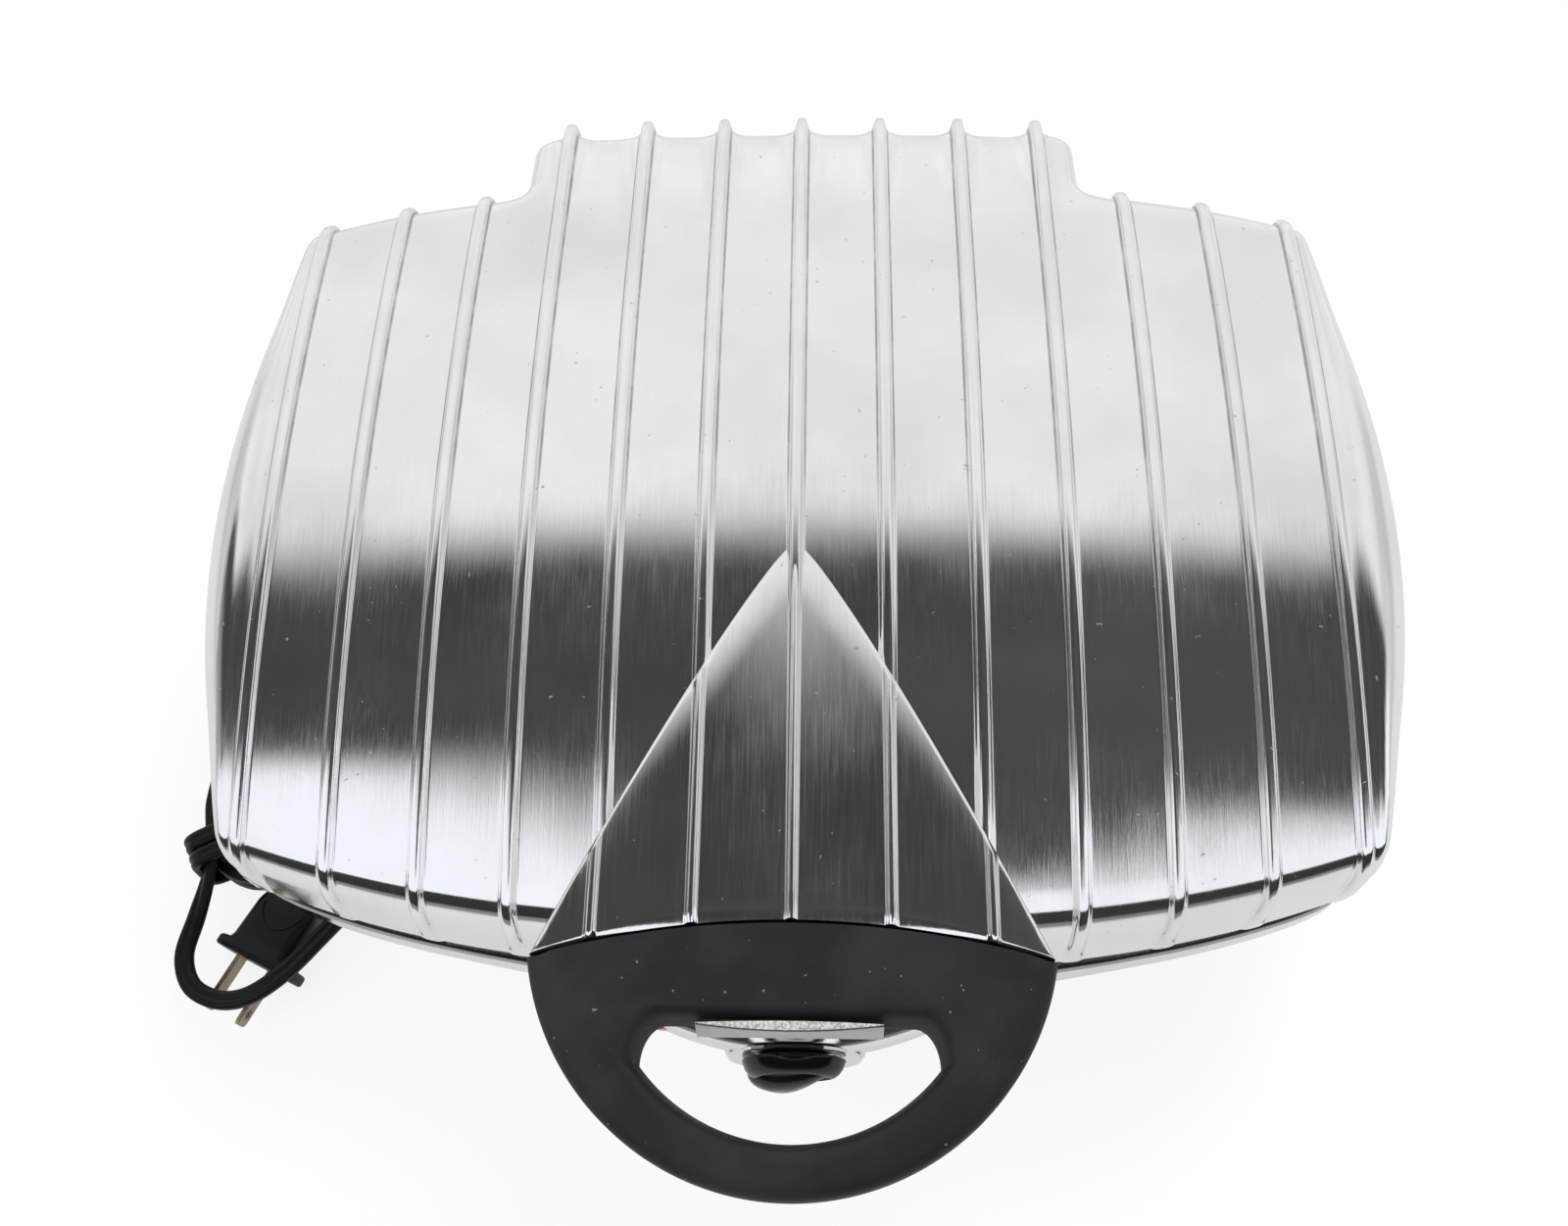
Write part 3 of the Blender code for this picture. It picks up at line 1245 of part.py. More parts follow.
def lamp(name, sign, finish):
    x = sign * LAMP_X
    face = chin_edge(x) - LAMP_PROUD
    profile = [(LAMP_RADIUS, LAMP_LENGTH), (LAMP_RADIUS, LAMP_PROUD / 2), (LAMP_RADIUS * 0.6, 0)]
    return turned(name, profile, (x, face, LAMP_Z), (0, 1, 0), finish, 12)


def terminal_block():
    low = FOOT_HEIGHT + COVER_SHEET + SEAT_GAP
    return box("terminal_block", (TERMINAL_X - TERMINAL_WIDTH / 2, TERMINAL_Y - TERMINAL_DEPTH / 2, low),
               (TERMINAL_X + TERMINAL_WIDTH / 2, TERMINAL_Y + TERMINAL_DEPTH / 2,
                low + TERMINAL_HEIGHT), CERAMIC)


# Cord

def cord_gland():
    seat = gland_seat() + SEAT_GAP
    profile = [(GLAND_RADIUS, -BASE_WALL - GLAND_ROOT), (GLAND_RADIUS, 0), (GLAND_COLLAR_RADIUS, 0),
               (GLAND_COLLAR_RADIUS, GLAND_COLLAR), (GLAND_RADIUS, GLAND_COLLAR),
               (GLAND_END_RADIUS, GLAND_COLLAR + GLAND_TAIL)]
    return turned("cord_gland", profile, (GLAND_X, seat, GLAND_Z), (0, 1, 0), RUBBER)


def gland_exit():
    return Vector((GLAND_X, gland_seat() + SEAT_GAP * 2 + GLAND_COLLAR + GLAND_TAIL, GLAND_Z))


def spline_through(points, spacing):
    """Points at an even spacing on a smooth curve through a route, whose first and last legs stay straight."""
    points = [Vector(p) for p in points]
    dense = []
    for a, b, c, d in zip(points, points[1:], points[2:], points[3:]):
        first = math.sqrt((b - a).length)
        middle = math.sqrt((c - b).length)
        last = math.sqrt((d - c).length)
        into = ((b - a) / first - (c - a) / (first + middle) + (c - b) / middle) * middle
        out = ((c - b) / middle - (d - b) / (middle + last) + (d - c) / last) * middle
        for i in range(24):
            t = i / 24
            dense.append(b * (2 * t ** 3 - 3 * t ** 2 + 1) + into * (t ** 3 - 2 * t ** 2 + t)
                         + c * (3 * t ** 2 - 2 * t ** 3) + out * (t ** 3 - t ** 2))
    dense.append(points[-2])
    lengths = [0.0]
    for a, b in zip(dense, dense[1:]):
        lengths.append(lengths[-1] + (b - a).length)
    steps = max(2, round(lengths[-1] / spacing))
    result = [points[0]]
    at = 0
    for i in range(steps + 1):
        want = lengths[-1] * i / steps
        while at < len(lengths) - 2 and lengths[at + 1] < want:
            at += 1
        part = (want - lengths[at]) / (lengths[at + 1] - lengths[at])
        result.append(dense[at].lerp(dense[at + 1], part))
    result.append(points[-1])
    return result


def hank_plan(share):
    """Point of a turn in plan, clockwise from the front end of the left run."""
    run = HANK_REAR_Y - HANK_FRONT_Y
    bend = math.pi * HANK_RADIUS
    length = share % 1 * 2 * (run + bend)
    if length < run:
        return HANK_X - HANK_RADIUS, HANK_FRONT_Y + length
    length -= run
    if length < bend:
        angle = math.pi - length / HANK_RADIUS
        return HANK_X + HANK_RADIUS * math.cos(angle), HANK_REAR_Y + HANK_RADIUS * math.sin(angle)
    length -= bend
    if length < run:
        return HANK_X + HANK_RADIUS, HANK_REAR_Y - length
    angle = (run - length) / HANK_RADIUS
    return HANK_X + HANK_RADIUS * math.cos(angle), HANK_FRONT_Y + HANK_RADIUS * math.sin(angle)


def hank_points():
    """Folded cord: its turns lie on each other and step down a layer along the right run."""
    first, last = HANK_CLIMB_SHARES
    low = CORD_DIAMETER / 2 + CORD_FLOOR_GAP
    points = []
    count = round((HANK_TURNS - HANK_START_SHARE) * HANK_POINTS)
    for i in range(count + 1):
        turns = HANK_START_SHARE + (HANK_TURNS - HANK_START_SHARE) * i / count
        x, y = hank_plan(turns)
        ramp = min(max((turns % 1 - first) / (last - first), 0), 1)
        ramp = ramp * ramp * (3 - 2 * ramp)
        layer = math.floor(HANK_TURNS) - math.floor(turns) - ramp
        near = math.hypot(x - TIE_X, y - TIE_Y)
        lift = TIE_LIFT * max(1 - (near / TIE_REACH) ** 2, 0)
        points.append(Vector((x, y, low + layer * HANK_STEP + lift)))
    return points


def least_self_gap(points, diameter):
    """Least distance between stretches of a tube that aren't neighbours along it, less its diameter."""
    least = math.inf
    spacing = (points[1] - points[0]).length
    skip = math.ceil(diameter * 2.2 / spacing)
    for i in range(len(points) - 1):
        a, b = points[i], points[i + 1]
        for j in range(i + 1 + skip, len(points) - 1):
            c, d = points[j], points[j + 1]
            for s in (0.0, 0.25, 0.5, 0.75, 1.0):
                p = a.lerp(b, s)
                span = d - c
                t = min(max((p - c).dot(span) / span.length_squared, 0), 1)
                least = min(least, (p - c.lerp(d, t)).length)
    return least - diameter


def plug_frame():
    """Axes of the plug: towards the blades, across them, and up."""
    ahead = Vector((math.sin(PLUG_HEADING), math.cos(PLUG_HEADING), 0))
    across = Vector((ahead.y, -ahead.x, 0))
    up = Vector((0, 0, 1))
    return ahead, across, up


def plug_point(along, across, up):
    ahead, side, top = plug_frame()
    return Vector((PLUG_X, PLUG_Y, PLUG_Z)) + ahead * along + side * across + top * up


def plug_ring(along, width, height, corner):
    outline = rounded_rectangle(-width / 2, -height / 2, width / 2, height / 2, corner, 3)
    return [plug_point(along, x, y) for x, y in outline]


def plug_body():
    flange_corner = PLUG_FLANGE_HEIGHT * 0.3
    body_corner = PLUG_BODY_HEIGHT * 0.3
    tail = PLUG_TAIL_WIDTH
    rings = [plug_ring(0, PLUG_FLANGE_WIDTH, PLUG_FLANGE_HEIGHT, flange_corner),
             plug_ring(-PLUG_FLANGE, PLUG_FLANGE_WIDTH, PLUG_FLANGE_HEIGHT, flange_corner),
             plug_ring(-PLUG_FLANGE, PLUG_BODY_WIDTH, PLUG_BODY_HEIGHT, body_corner),
             plug_ring(-PLUG_FLANGE - PLUG_BODY * 0.6, PLUG_BODY_WIDTH * 0.92, PLUG_BODY_HEIGHT * 0.94,
                       body_corner * 0.9),
             plug_ring(-PLUG_FLANGE - PLUG_BODY, (PLUG_BODY_WIDTH + tail) / 2,
                       (PLUG_BODY_HEIGHT + tail) / 2, tail * 0.45),
             plug_ring(-PLUG_FLANGE - PLUG_BODY - PLUG_TAIL, tail, tail * 0.85, tail * 0.38)]
    body = loft("plug_body", rings, CORD_BLACK)
    for side in (-1, 1):
        combine(body, blade_block("blade_slot", side, SEAT_GAP, OVERRUN))
    return body


def blade_block(name, side, clearance, extra, finish=None):
    middle = side * BLADE_SPACING / 2
    half_sheet = BLADE_SHEET / 2 + clearance
    half_height = BLADE_HEIGHT / 2 + clearance
    tip = BLADE_LENGTH + extra
    nose = BLADE_HEIGHT * 0.2
    rings = []
    for along, height in ((-BLADE_ROOT - clearance, half_height), (tip - nose, half_height),
                          (tip, half_height - nose)):
        rings.append([plug_point(along, middle - half_sheet, -height),
                      plug_point(along, middle + half_sheet, -height),
                      plug_point(along, middle + half_sheet, height),
                      plug_point(along, middle - half_sheet, height)])
    return loft(name, rings, finish)


def plug_blade(name, side):
    blade = blade_block(name, side, 0.0, 0.0, BRASS)
    middle = side * BLADE_SPACING / 2
    along = BLADE_LENGTH - BLADE_HOLE_INSET
    combine(blade, rod("blade_hole", plug_point(along, middle - BLADE_SHEET * 2, 0),
                       plug_point(along, middle + BLADE_SHEET * 2, 0), BLADE_HOLE, None, 10))
    return blade


def lead_route(hank_start):
    """Route from the gland round the rear left, forward under the lid, over the plug and back to the tie."""
    start = gland_exit()
    low = CORD_DIAMETER / 2 + CORD_FLOOR_GAP
    over_plug = PLUG_Z + PLUG_FLANGE_HEIGHT / 2 + CORD_DIAMETER / 2 + RUN_GAP
    over_blade = PLUG_Z + BLADE_HEIGHT / 2 + CORD_DIAMETER / 2 + RUN_GAP
    return [start, start + Vector((0, CORD_DIAMETER, 0)),
            (-0.1225, 0.1766, 0.0190), (-0.1330, 0.1856, 0.0105), (-0.1480, 0.1866, 0.0050),
            (-0.1600, 0.1766, low), (-0.1640, 0.1586, low), (-0.1600, 0.1286, low),
            (-0.1560, 0.0886, low), (-0.1530, 0.0436, low), (-0.1520, -0.0014, low),
            (-0.1510, -0.0354, low), (-0.1505, -0.0534, 0.0060), (-0.1525, -0.0684, 0.0120),
            (-0.1590, -0.0819, 0.0180), (-0.1685, -0.0944, over_plug), (-0.1795, -0.1010, 0.0178),
            (-0.1900, -0.1014, over_blade), (-0.1995, -0.0970, 0.0145), (-0.2042, -0.0875, 0.0145),
            (-0.2028, -0.0744, 0.0150), (-0.2012, -0.0634, 0.0165), (-0.2010, -0.0534, 0.0172),
            (-0.2032, -0.0444, 0.0164),
            hank_start - Vector((0, CORD_DIAMETER, 0)), hank_start]


def tail_route(hank_end):
    """Route from the hank's right run, beside it to the front, and into the plug."""
    low = hank_end[2]
    rear = plug_point(-PLUG_FLANGE - PLUG_BODY - PLUG_TAIL - SEAT_GAP, 0, 0)
    ahead = plug_frame()[0]
    return [hank_end, hank_end - Vector((0, CORD_DIAMETER, 0)), (-0.1685, 0.0166, low),
            (-0.1650, 0.0006, low), (-0.1628, -0.0194, low + 0.0008), (-0.1618, -0.0354, low + 0.0035),
            rear - ahead * CORD_DIAMETER, rear]


def cord_tie(strands):
    """Flat band round the strands where the loop joins the folded turns."""
    centre = Vector((TIE_X, TIE_Y, 0))
    along = Vector((-math.sin(TIE_HEADING), math.cos(TIE_HEADING), 0))
    across = Vector((math.cos(TIE_HEADING), math.sin(TIE_HEADING), 0))
    sides = []
    heights = []
    for points in strands:
        for a, b in zip(points, points[1:]):
            for i in range(9):
                p = a.lerp(b, i / 9)
                offset = p - centre
                if abs(offset.dot(along)) < TIE_WIDTH / 2 and abs(offset.dot(across)) < TIE_REACH / 2:
                    sides.append(offset.dot(across))
                    heights.append(p.z)
    reach = CORD_DIAMETER / 2 + SEAT_GAP * 2
    low = (min(sides) - reach, min(heights) - reach)
    high = (max(sides) + reach, max(heights) + reach)
    outer = rounded_rectangle(low[0] - TIE_SHEET, low[1] - TIE_SHEET, high[0] + TIE_SHEET,
                              high[1] + TIE_SHEET, TIE_SHEET * 2, 3)
    inner = rounded_rectangle(low[0], low[1], high[0], high[1], TIE_SHEET, 3)

    def ring(outline, shift):
        return [centre + along * shift + across * x + Vector((0, 0, z)) for x, z in outline]

    band = loft("cord_tie", [ring(outer, -TIE_WIDTH / 2), ring(outer, TIE_WIDTH / 2)], RUBBER)
    combine(band, loft("tie_cutter", [ring(inner, -TIE_WIDTH / 2 - OVERRUN),
                                      ring(inner, TIE_WIDTH / 2 + OVERRUN)]))
    return band


def build_cord():
    radius = CORD_DIAMETER / 2
    hank = hank_points()
    print("hank: least gap to itself %.2f mm" % (least_self_gap(hank, CORD_DIAMETER) * 1000))
    tube("cord_hank", hank, radius, CORD_BLACK, 1)
    gap = Vector((0, SEAT_GAP, 0))
    lead = spline_through(lead_route(hank[0] - gap), CORD_DIAMETER * 1.9)
    tail = spline_through(tail_route(hank[-1] - gap), CORD_DIAMETER * 1.2)
    tube("cord_lead", lead, radius, CORD_BLACK)
    tube("cord_tail", tail, radius, CORD_BLACK)
    length = sum((b - a).length for run in (lead, hank, tail) for a, b in zip(run, run[1:]))
    print("cord: %.0f mm" % (length * 1000))
    cord_tie([hank, lead])
    plug_body()
    plug_blade("plug_blade_left", 1)
    plug_blade("plug_blade_right", -1)


def build_base():
    base_shell()
    bottom_cover()
    for side, x in (("left", -FOOT_X), ("right", FOOT_X)):
        foot("foot_front_" + side, x, FOOT_FRONT_Y)
        foot("foot_rear_" + side, x, FOOT_REAR_Y)
    for side, x in (("left", -BOSS_X), ("right", BOSS_X)):
        screw("cover_screw_front_" + side, x, BOSS_FRONT_Y, FOOT_HEIGHT, 1)
        screw("cover_screw_rear_" + side, x, BOSS_REAR_Y, FOOT_HEIGHT, 1)
    lower_plate()
    heater_z = BASE_RIM_Z - PLATE_BODY - HEATER_RADIUS
    tube("lower_heater", heater_route(heater_z), HEATER_RADIUS, MINERAL, 1)
    lower_reflector()
    thermostat()
    terminal_block()
    drain_spout()
    for side, sign in (("left", -1), ("right", 1)):
        hinge_guide("hinge_guide_" + side, sign)
        tray_runner("tray_runner_" + side, sign)
    dial_plate()
    lamp("power_lamp", -1, RED_LENS)
    lamp("ready_lamp", 1, AMBER_LENS)
    cord_gland()


def build_moving():
    pin, groove = hinge_pin()
    carriage = [pin]
    for side, sign in (("left", -1), ("right", 1)):
        carriage.append(hinge_leg("hinge_leg_" + side, sign))
        carriage.append(hinge_clip("hinge_clip_" + side, sign, groove))
    float_empty = empty_at("float_axis", (0, PIN_Y, PIN_Z))
    attach(carriage, float_empty)

    lid = [lid_shell(), lid_liner(), upper_plate(), handle(), nameplate()]
    top = BASE_RIM_Z + 2 * SEAT_GAP + PLATE_FLANGE + PLATE_WELL + PLATE_BODY
    lid.append(tube("upper_heater", heater_route(top + SEAT_GAP + HEATER_RADIUS), HEATER_RADIUS,
                    MINERAL, 1))
    for side, sign in (("left", -1), ("right", 1)):
        lid.append(handle_screw("handle_screw_" + side, sign))
        lid.append(screw("liner_screw_front_" + side, sign * POST_X, POST_FRONT_Y, LINER_Z, 1))
        lid.append(screw("liner_screw_rear_" + side, sign * POST_X, POST_REAR_Y, LINER_Z, 1))
    lid_empty = empty_at("lid_axis", (0, PIN_Y, PIN_Z))
    attach(lid, lid_empty)
    attach([lid_empty], float_empty)

    dial = knob()
    set_origin(dial, (0, knob_back(), KNOB_Z))
    shaft = knob_shaft()
    knob_empty = empty_at("knob_axis", (0, knob_back(), KNOB_Z))
    bpy.context.view_layer.update()
    attach([dial, shaft], knob_empty)

    tray = drip_tray()
    set_origin(tray, (0, tray_rear(), TRAY_Z))


def main():
    clear_scene()
    build_base()
    build_cord()
    build_moving()


main()
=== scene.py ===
"""Looks of a contact grill: polished ribbed lid, black half-moon handle, knob, tied flat cord.

Metres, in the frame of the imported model: +Z up, the handle towards -Y.
"""
import json
import math

import bmesh
import bpy
from mathutils import Matrix, Vector
from mathutils.geometry import delaunay_2d_cdt


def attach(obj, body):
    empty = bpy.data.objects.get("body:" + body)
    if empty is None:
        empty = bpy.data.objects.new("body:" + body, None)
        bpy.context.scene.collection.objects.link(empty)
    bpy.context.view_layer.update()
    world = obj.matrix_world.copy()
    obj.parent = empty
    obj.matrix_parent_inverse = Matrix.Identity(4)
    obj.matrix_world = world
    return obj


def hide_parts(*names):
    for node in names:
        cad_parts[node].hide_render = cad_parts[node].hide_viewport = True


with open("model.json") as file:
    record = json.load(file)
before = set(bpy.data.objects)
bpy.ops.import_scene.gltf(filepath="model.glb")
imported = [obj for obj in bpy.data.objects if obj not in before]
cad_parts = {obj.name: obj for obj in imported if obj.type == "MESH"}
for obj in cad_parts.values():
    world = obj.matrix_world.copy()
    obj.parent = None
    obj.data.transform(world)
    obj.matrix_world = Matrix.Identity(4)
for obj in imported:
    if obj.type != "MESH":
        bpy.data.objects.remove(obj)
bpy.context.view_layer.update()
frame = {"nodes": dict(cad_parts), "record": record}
NODES = frame["nodes"]

# Shared clearances and levels
SEAT_GAP = 0.0003
RUN_GAP = 0.0006
FOOT_HEIGHT = 0.012
BASE_RIM_Z = 0.072
LID_RIM_Z = 0.076
GRILL_HEIGHT = 0.1395

# Plan outline
FRONT_Y, FRONT_SWEEP, FRONT_REACH, FRONT_POWER = -0.1044, 0.0220, 0.155, 2.5
CREASE_Y, CREASE_SWEEP, CREASE_ROUND, CREASE_DROP = -0.0999, 0.0200, 0.0052, 0.0090
SIDE_X, SIDE_RADIUS, SIDE_CENTRE_Y = 0.183, 0.235, 0.024
REAR_Y, REAR_SWEEP, REAR_REACH, REAR_POWER = 0.1393, 0.0108, 0.154, 4.0
CORNER_SOFTNESS = 0.006
CHIN_RADIUS, CHIN_Y, CHIN_SOFTNESS, CHIN_UNDERCUT = 0.098, -0.1239, 0.008, 0.024
RECESS_HALF_WIDTH, RECESS_Y, RECESS_SIDE = 0.0965, 0.1316, 0.004

# Lid
LID_WALL = 0.0034
LID_CREST_Y, LID_LONG_RADIUS, LID_CROSS_RADIUS = 0.0986, 0.530, 1.62
RIB_PITCH, RIBS_EACH_SIDE, RIB_HEIGHT, RIB_PROUD = 0.026, 6, 0.0024, 0.0056
RIB_HALF, RIB_FLAT, RIB_TAIL = 0.0026, 0.0014, 0.0086
EDGE_X = RIB_PITCH * RIBS_EACH_SIDE + 0.0029
REAR_ROUND = 0.009
HOOD_HALF_WIDTH, HOOD_Y, HOOD_ROUND, HOOD_DRAFT = 0.091, 0.1648, 0.006, 0.0006
CORNER_RUN, FLANK_POWER = 0.016, 2.7
FAN_Y, FAN_INNER, FAN_OUTER = 0.106, 0.0815, 0.1005
WALL_ROWS, CREASE_ROWS, TOP_ROWS, FAN_ROWS, ROUND_ROWS, REAR_ROWS = 8, 12, 44, 10, 9, 7
HINGE_Y, HINGE_Z, LUG_RADIUS, LUG_TOP_Z, PIN_BORE = 0.1496, 0.086, 0.0068, 0.1325, 0.0038
GUIDE_X, GUIDE_HALF_WIDTH, LINER_RISE, LINER_SHEET = 0.0750, 0.0050, 0.0020, 0.0009
LID_POST_X, LID_POST_YS, SCREW_BORE = 0.143, (-0.0594, 0.0906), 0.0022

# Prow and handle
PROW_APEX_Y, PROW_APEX_Z = 0.0061, 0.1294
PROW_HALF_WIDTH, PROW_FULLNESS = 0.0675, 0.87
PROW_FRONT_Y, PROW_FRONT_Z, PROW_BOTTOM_Z = -0.1004, 0.1158, 0.092
PROW_RIB_HEIGHT, JOINT_RADIUS = 0.0018, 0.250
PROW_SAG, PROW_RUN = 0.0007, 0.1065
HANDLE_RADIUS, HANDLE_CENTRE_Y = 0.0694, -0.0980
HANDLE_TOP_Z, HANDLE_THICKNESS = 0.1162, 0.014
GRIP_HALF_WIDTH, GRIP_REAR_Y, GRIP_FRONT_Y = 0.038, -0.1259, -0.1539
GRIP_CORNER, GRIP_CORNER_DEPTH, HANDLE_SCREW_X = 0.0065, 0.0100, 0.036

# Base
BASE_WALL, BASE_DECK, BASE_PROUD, BASE_UNDERCUT, REAR_UNDERCUT = 0.0034, 0.0036, 0.0010, 0.040, 0.005
BASE_LEVEL_SHARES = (0.0, 0.05, 0.16, 0.36, 0.6, 0.84, 0.975, 1.0)
BASE_INSET_SHARES = (1.0, 0.84, 0.6, 0.29, 0.09, 0.0, 0.0, 0.03)
CHIN_INSET_SHARES = (1.0, 0.8, 0.46, 0.17, 0.05, 0.0, 0.42, 0.62)
DIAL_Y, KNOB_Z, DIAL_BOSS_RADIUS, DIAL_SHEET = -0.1228, 0.050, 0.0205, 0.0008
KNOB_RADIUS, KNOB_SKIRT, KNOB_DEPTH, GRIP_TURN = 0.0158, 0.0035, 0.0084, math.radians(52)
GLAND_X, GLAND_Z, GLAND_BOSS = -0.118, 0.026, 0.0022
OPENING_HALF_WIDTH, OPENING_FRONT_Y, OPENING_REAR_Y, OPENING_CORNER = 0.121, -0.0725, 0.1036, 0.023
TRAY_SLOT = (-0.0546, 0.1200, 0.0159), (0.0546, 0.1400, 0.0321)
LEG_SLOT = 0.0037, 0.1169, 0.1253, 0.066, 0.075
BOTTOM_SHEET, BASE_POST_RADIUS, BASE_POST_X, BASE_POST_YS = 0.0010, 0.005, 0.1355, (-0.0134, 0.0606)
BASE_STEPS = 300

# Cord and plug
CORD_DIAMETER, CORD_FLOOR_GAP = 0.0052, 0.0004
CORD_WIDTH, CORD_THICKNESS = 0.0062, 0.0040
HANK_X, HANK_FRONT_Y, HANK_REAR_Y, HANK_RADIUS = -0.1885, -0.0424, 0.0366, 0.0170
HANK_STEP, HANK_TURNS, HANK_START_SHARE, HANK_CLIMB_SHARES = 0.0062, 2.545, 0.05, (0.56, 0.78)
TIE_X, TIE_Y, TIE_LIFT, TIE_REACH, TIE_HEADING = -0.2025, -0.0504, 0.0014, 0.026, math.radians(8)
PLUG_X, PLUG_Y, PLUG_Z, PLUG_HEADING = -0.1815, -0.0884, 0.0086, math.radians(205)
PLUG_FLANGE_WIDTH, PLUG_FLANGE_HEIGHT, PLUG_FLANGE = 0.031, 0.0165, 0.0036
PLUG_BODY_WIDTH, PLUG_BODY_HEIGHT, PLUG_BODY = 0.0235, 0.0150, 0.026
PLUG_TAIL, PLUG_TAIL_WIDTH = 0.010, 0.0085
BLADE_SPACING, BLADE_HEIGHT, BLADE_SHEET, BLADE_LENGTH = 0.0127, 0.0063, 0.0015, 0.0190

# Lamps
LAMP_SIZE, LAMP_TARGET = 0.9, (0, 0, 0.05)


# Helpers

def link(name, data):
    obj = bpy.data.objects.new(name, data)
    bpy.context.scene.collection.objects.link(obj)
    return obj


def smooth(mesh, sharp):
    """Smooth shading with an edge wherever faces meet at more than an angle in degrees."""
    mesh.shade_smooth()
    mesh.set_sharp_from_angle(angle=math.radians(sharp))


def mesh_object(name, vertices, faces, material, sharp=40):
    mesh = bpy.data.meshes.new(name)
    mesh.from_pydata([tuple(v) for v in vertices], [], faces)
    work = bmesh.new()
    work.from_mesh(mesh)
    bmesh.ops.remove_doubles(work, verts=work.verts, dist=1e-6)
    bmesh.ops.recalc_face_normals(work, faces=work.faces)
    work.to_mesh(mesh)
    work.free()
    smooth(mesh, sharp)
    mesh.materials.append(material)
    return link(name, mesh)


def loft_faces(count, levels, ends="capped"):
    """Quads between rings of points, capped at the ends or joined from the last ring to the first."""
    faces = []
    for level in range(levels if ends == "joined" else levels - 1):
        here, there = level * count, (level + 1) % levels * count
        for i in range(count):
            j = (i + 1) % count
            faces.append((here + i, here + j, there + j, there + i))
    if ends == "capped":
        faces.append(tuple(reversed(range(count))))
        faces.append(tuple(range((levels - 1) * count, levels * count)))
    return faces


def loft(name, rings, material, sharp=40, ends="capped"):
    vertices = [point for ring in rings for point in ring]
    return mesh_object(name, vertices, loft_faces(len(rings[0]), len(rings), ends), material, sharp)


def grid_faces(columns):
    """Quads of a grid given as columns of vertex numbers."""
    faces = []
    for here, there in zip(columns, columns[1:]):
        for i in range(len(here) - 1):
            faces.append((here[i], here[i + 1], there[i + 1], there[i]))
    return faces


def apply_modifiers(obj):
    graph = bpy.context.evaluated_depsgraph_get()
    mesh = bpy.data.meshes.new_from_object(obj.evaluated_get(graph))
    obj.modifiers.clear()
    obj.data = mesh
    return obj


def cut(obj, cutters):
    for cutter in cutters:
        modifier = obj.modifiers.new("cut", "BOOLEAN")
        modifier.object = cutter
        modifier.operation = "DIFFERENCE"
        modifier.solver = "EXACT"
    apply_modifiers(obj)
    for cutter in cutters:
        bpy.data.objects.remove(cutter)
    return obj


def join(target, others):
    """Adds the meshes of other objects to the first one's."""
    work = bmesh.new()
    work.from_mesh(target.data)
    for other in others:
        work.from_mesh(other.data)
        bpy.data.objects.remove(other)
    work.to_mesh(target.data)
    work.free()
    return target


def hermite(t, a, into, b, out):
    """Cubic from a to b that starts with the slope into and ends with the slope out."""
    return (a * (2 * t ** 3 - 3 * t ** 2 + 1) + into * (t ** 3 - 2 * t ** 2 + t)
            + b * (3 * t ** 2 - 2 * t ** 3) + out * (t ** 3 - t ** 2))


def smooth_curve(keys, values):
    """Monotone cubic through key points, as a function."""
    steps = [(values[i + 1] - values[i]) / (keys[i + 1] - keys[i]) for i in range(len(keys) - 1)]
    slopes = [steps[0]]
    for a, b in zip(steps, steps[1:]):
        slopes.append(0.0 if a * b <= 0 else 2 * a * b / (a + b))
    slopes.append(steps[-1])

    def value(x):
        if x <= keys[0]:
            return values[0]
        for i in range(len(keys) - 1):
            if x <= keys[i + 1]:
                width = keys[i + 1] - keys[i]
                return hermite((x - keys[i]) / width, values[i], slopes[i] * width,
                               values[i + 1], slopes[i + 1] * width)
        return values[-1]

    return value


def marks_along(points):
    """Length of a route up to each of its points."""
    marks = [0.0]
    for a, b in zip(points, points[1:]):
        marks.append(marks[-1] + (b - a).length)
    return marks


def ease(t):
    """Smooth step from 0 to 1."""
    t = min(max(t, 0.0), 1.0)
    return t * t * (3 - 2 * t)


def rounded_rectangle(low_x, low_y, high_x, high_y, radius):
    corners = ((high_x - radius, high_y - radius, 0), (low_x + radius, high_y - radius, 1),
               (low_x + radius, low_y + radius, 2), (high_x - radius, low_y + radius, 3))
    steps = 8
    points = []
    for cx, cy, quarter in corners:
        for i in range(steps + 1):
            angle = math.pi / 2 * (quarter + i / steps)
            points.append((cx + radius * math.cos(angle), cy + radius * math.sin(angle)))
    return points


def trace(outside, reach, count):
    """Where rays from the middle of the plan, at even angles, leave a shape."""
    points = []
    for i in range(count):
        angle = 2 * math.pi * (i + 0.5) / count
        dx, dy = math.cos(angle), math.sin(angle)
        low, high = 0.0, reach
        for _ in range(34):
            middle = (low + high) / 2
            if outside(middle * dx, SIDE_CENTRE_Y + middle * dy):
                high = middle
            else:
                low = middle
        points.append((low * dx, SIDE_CENTRE_Y + low * dy))
    return points


def turned(name, profile, origin, axis, material, steps=48, sharp=40):
    """Surface of revolution. The profile holds pairs of a radius and a place along the axis."""
    axis = Vector(axis).normalized()
    side = axis.orthogonal().normalized()
    up = axis.cross(side)
    rings = []
    for radius, along in profile:
        rings.append([Vector(origin) + axis * along
                      + side * (radius * math.cos(2 * math.pi * i / steps))
                      + up * (radius * math.sin(2 * math.pi * i / steps)) for i in range(steps)])
    return loft(name, rings, material, sharp)


def box(low, high):
    ring = [(low[0], low[1]), (high[0], low[1]), (high[0], high[1]), (low[0], high[1])]
    return loft("cutter", [[(x, y, z) for x, y in ring] for z in (low[2], high[2])], CAST)


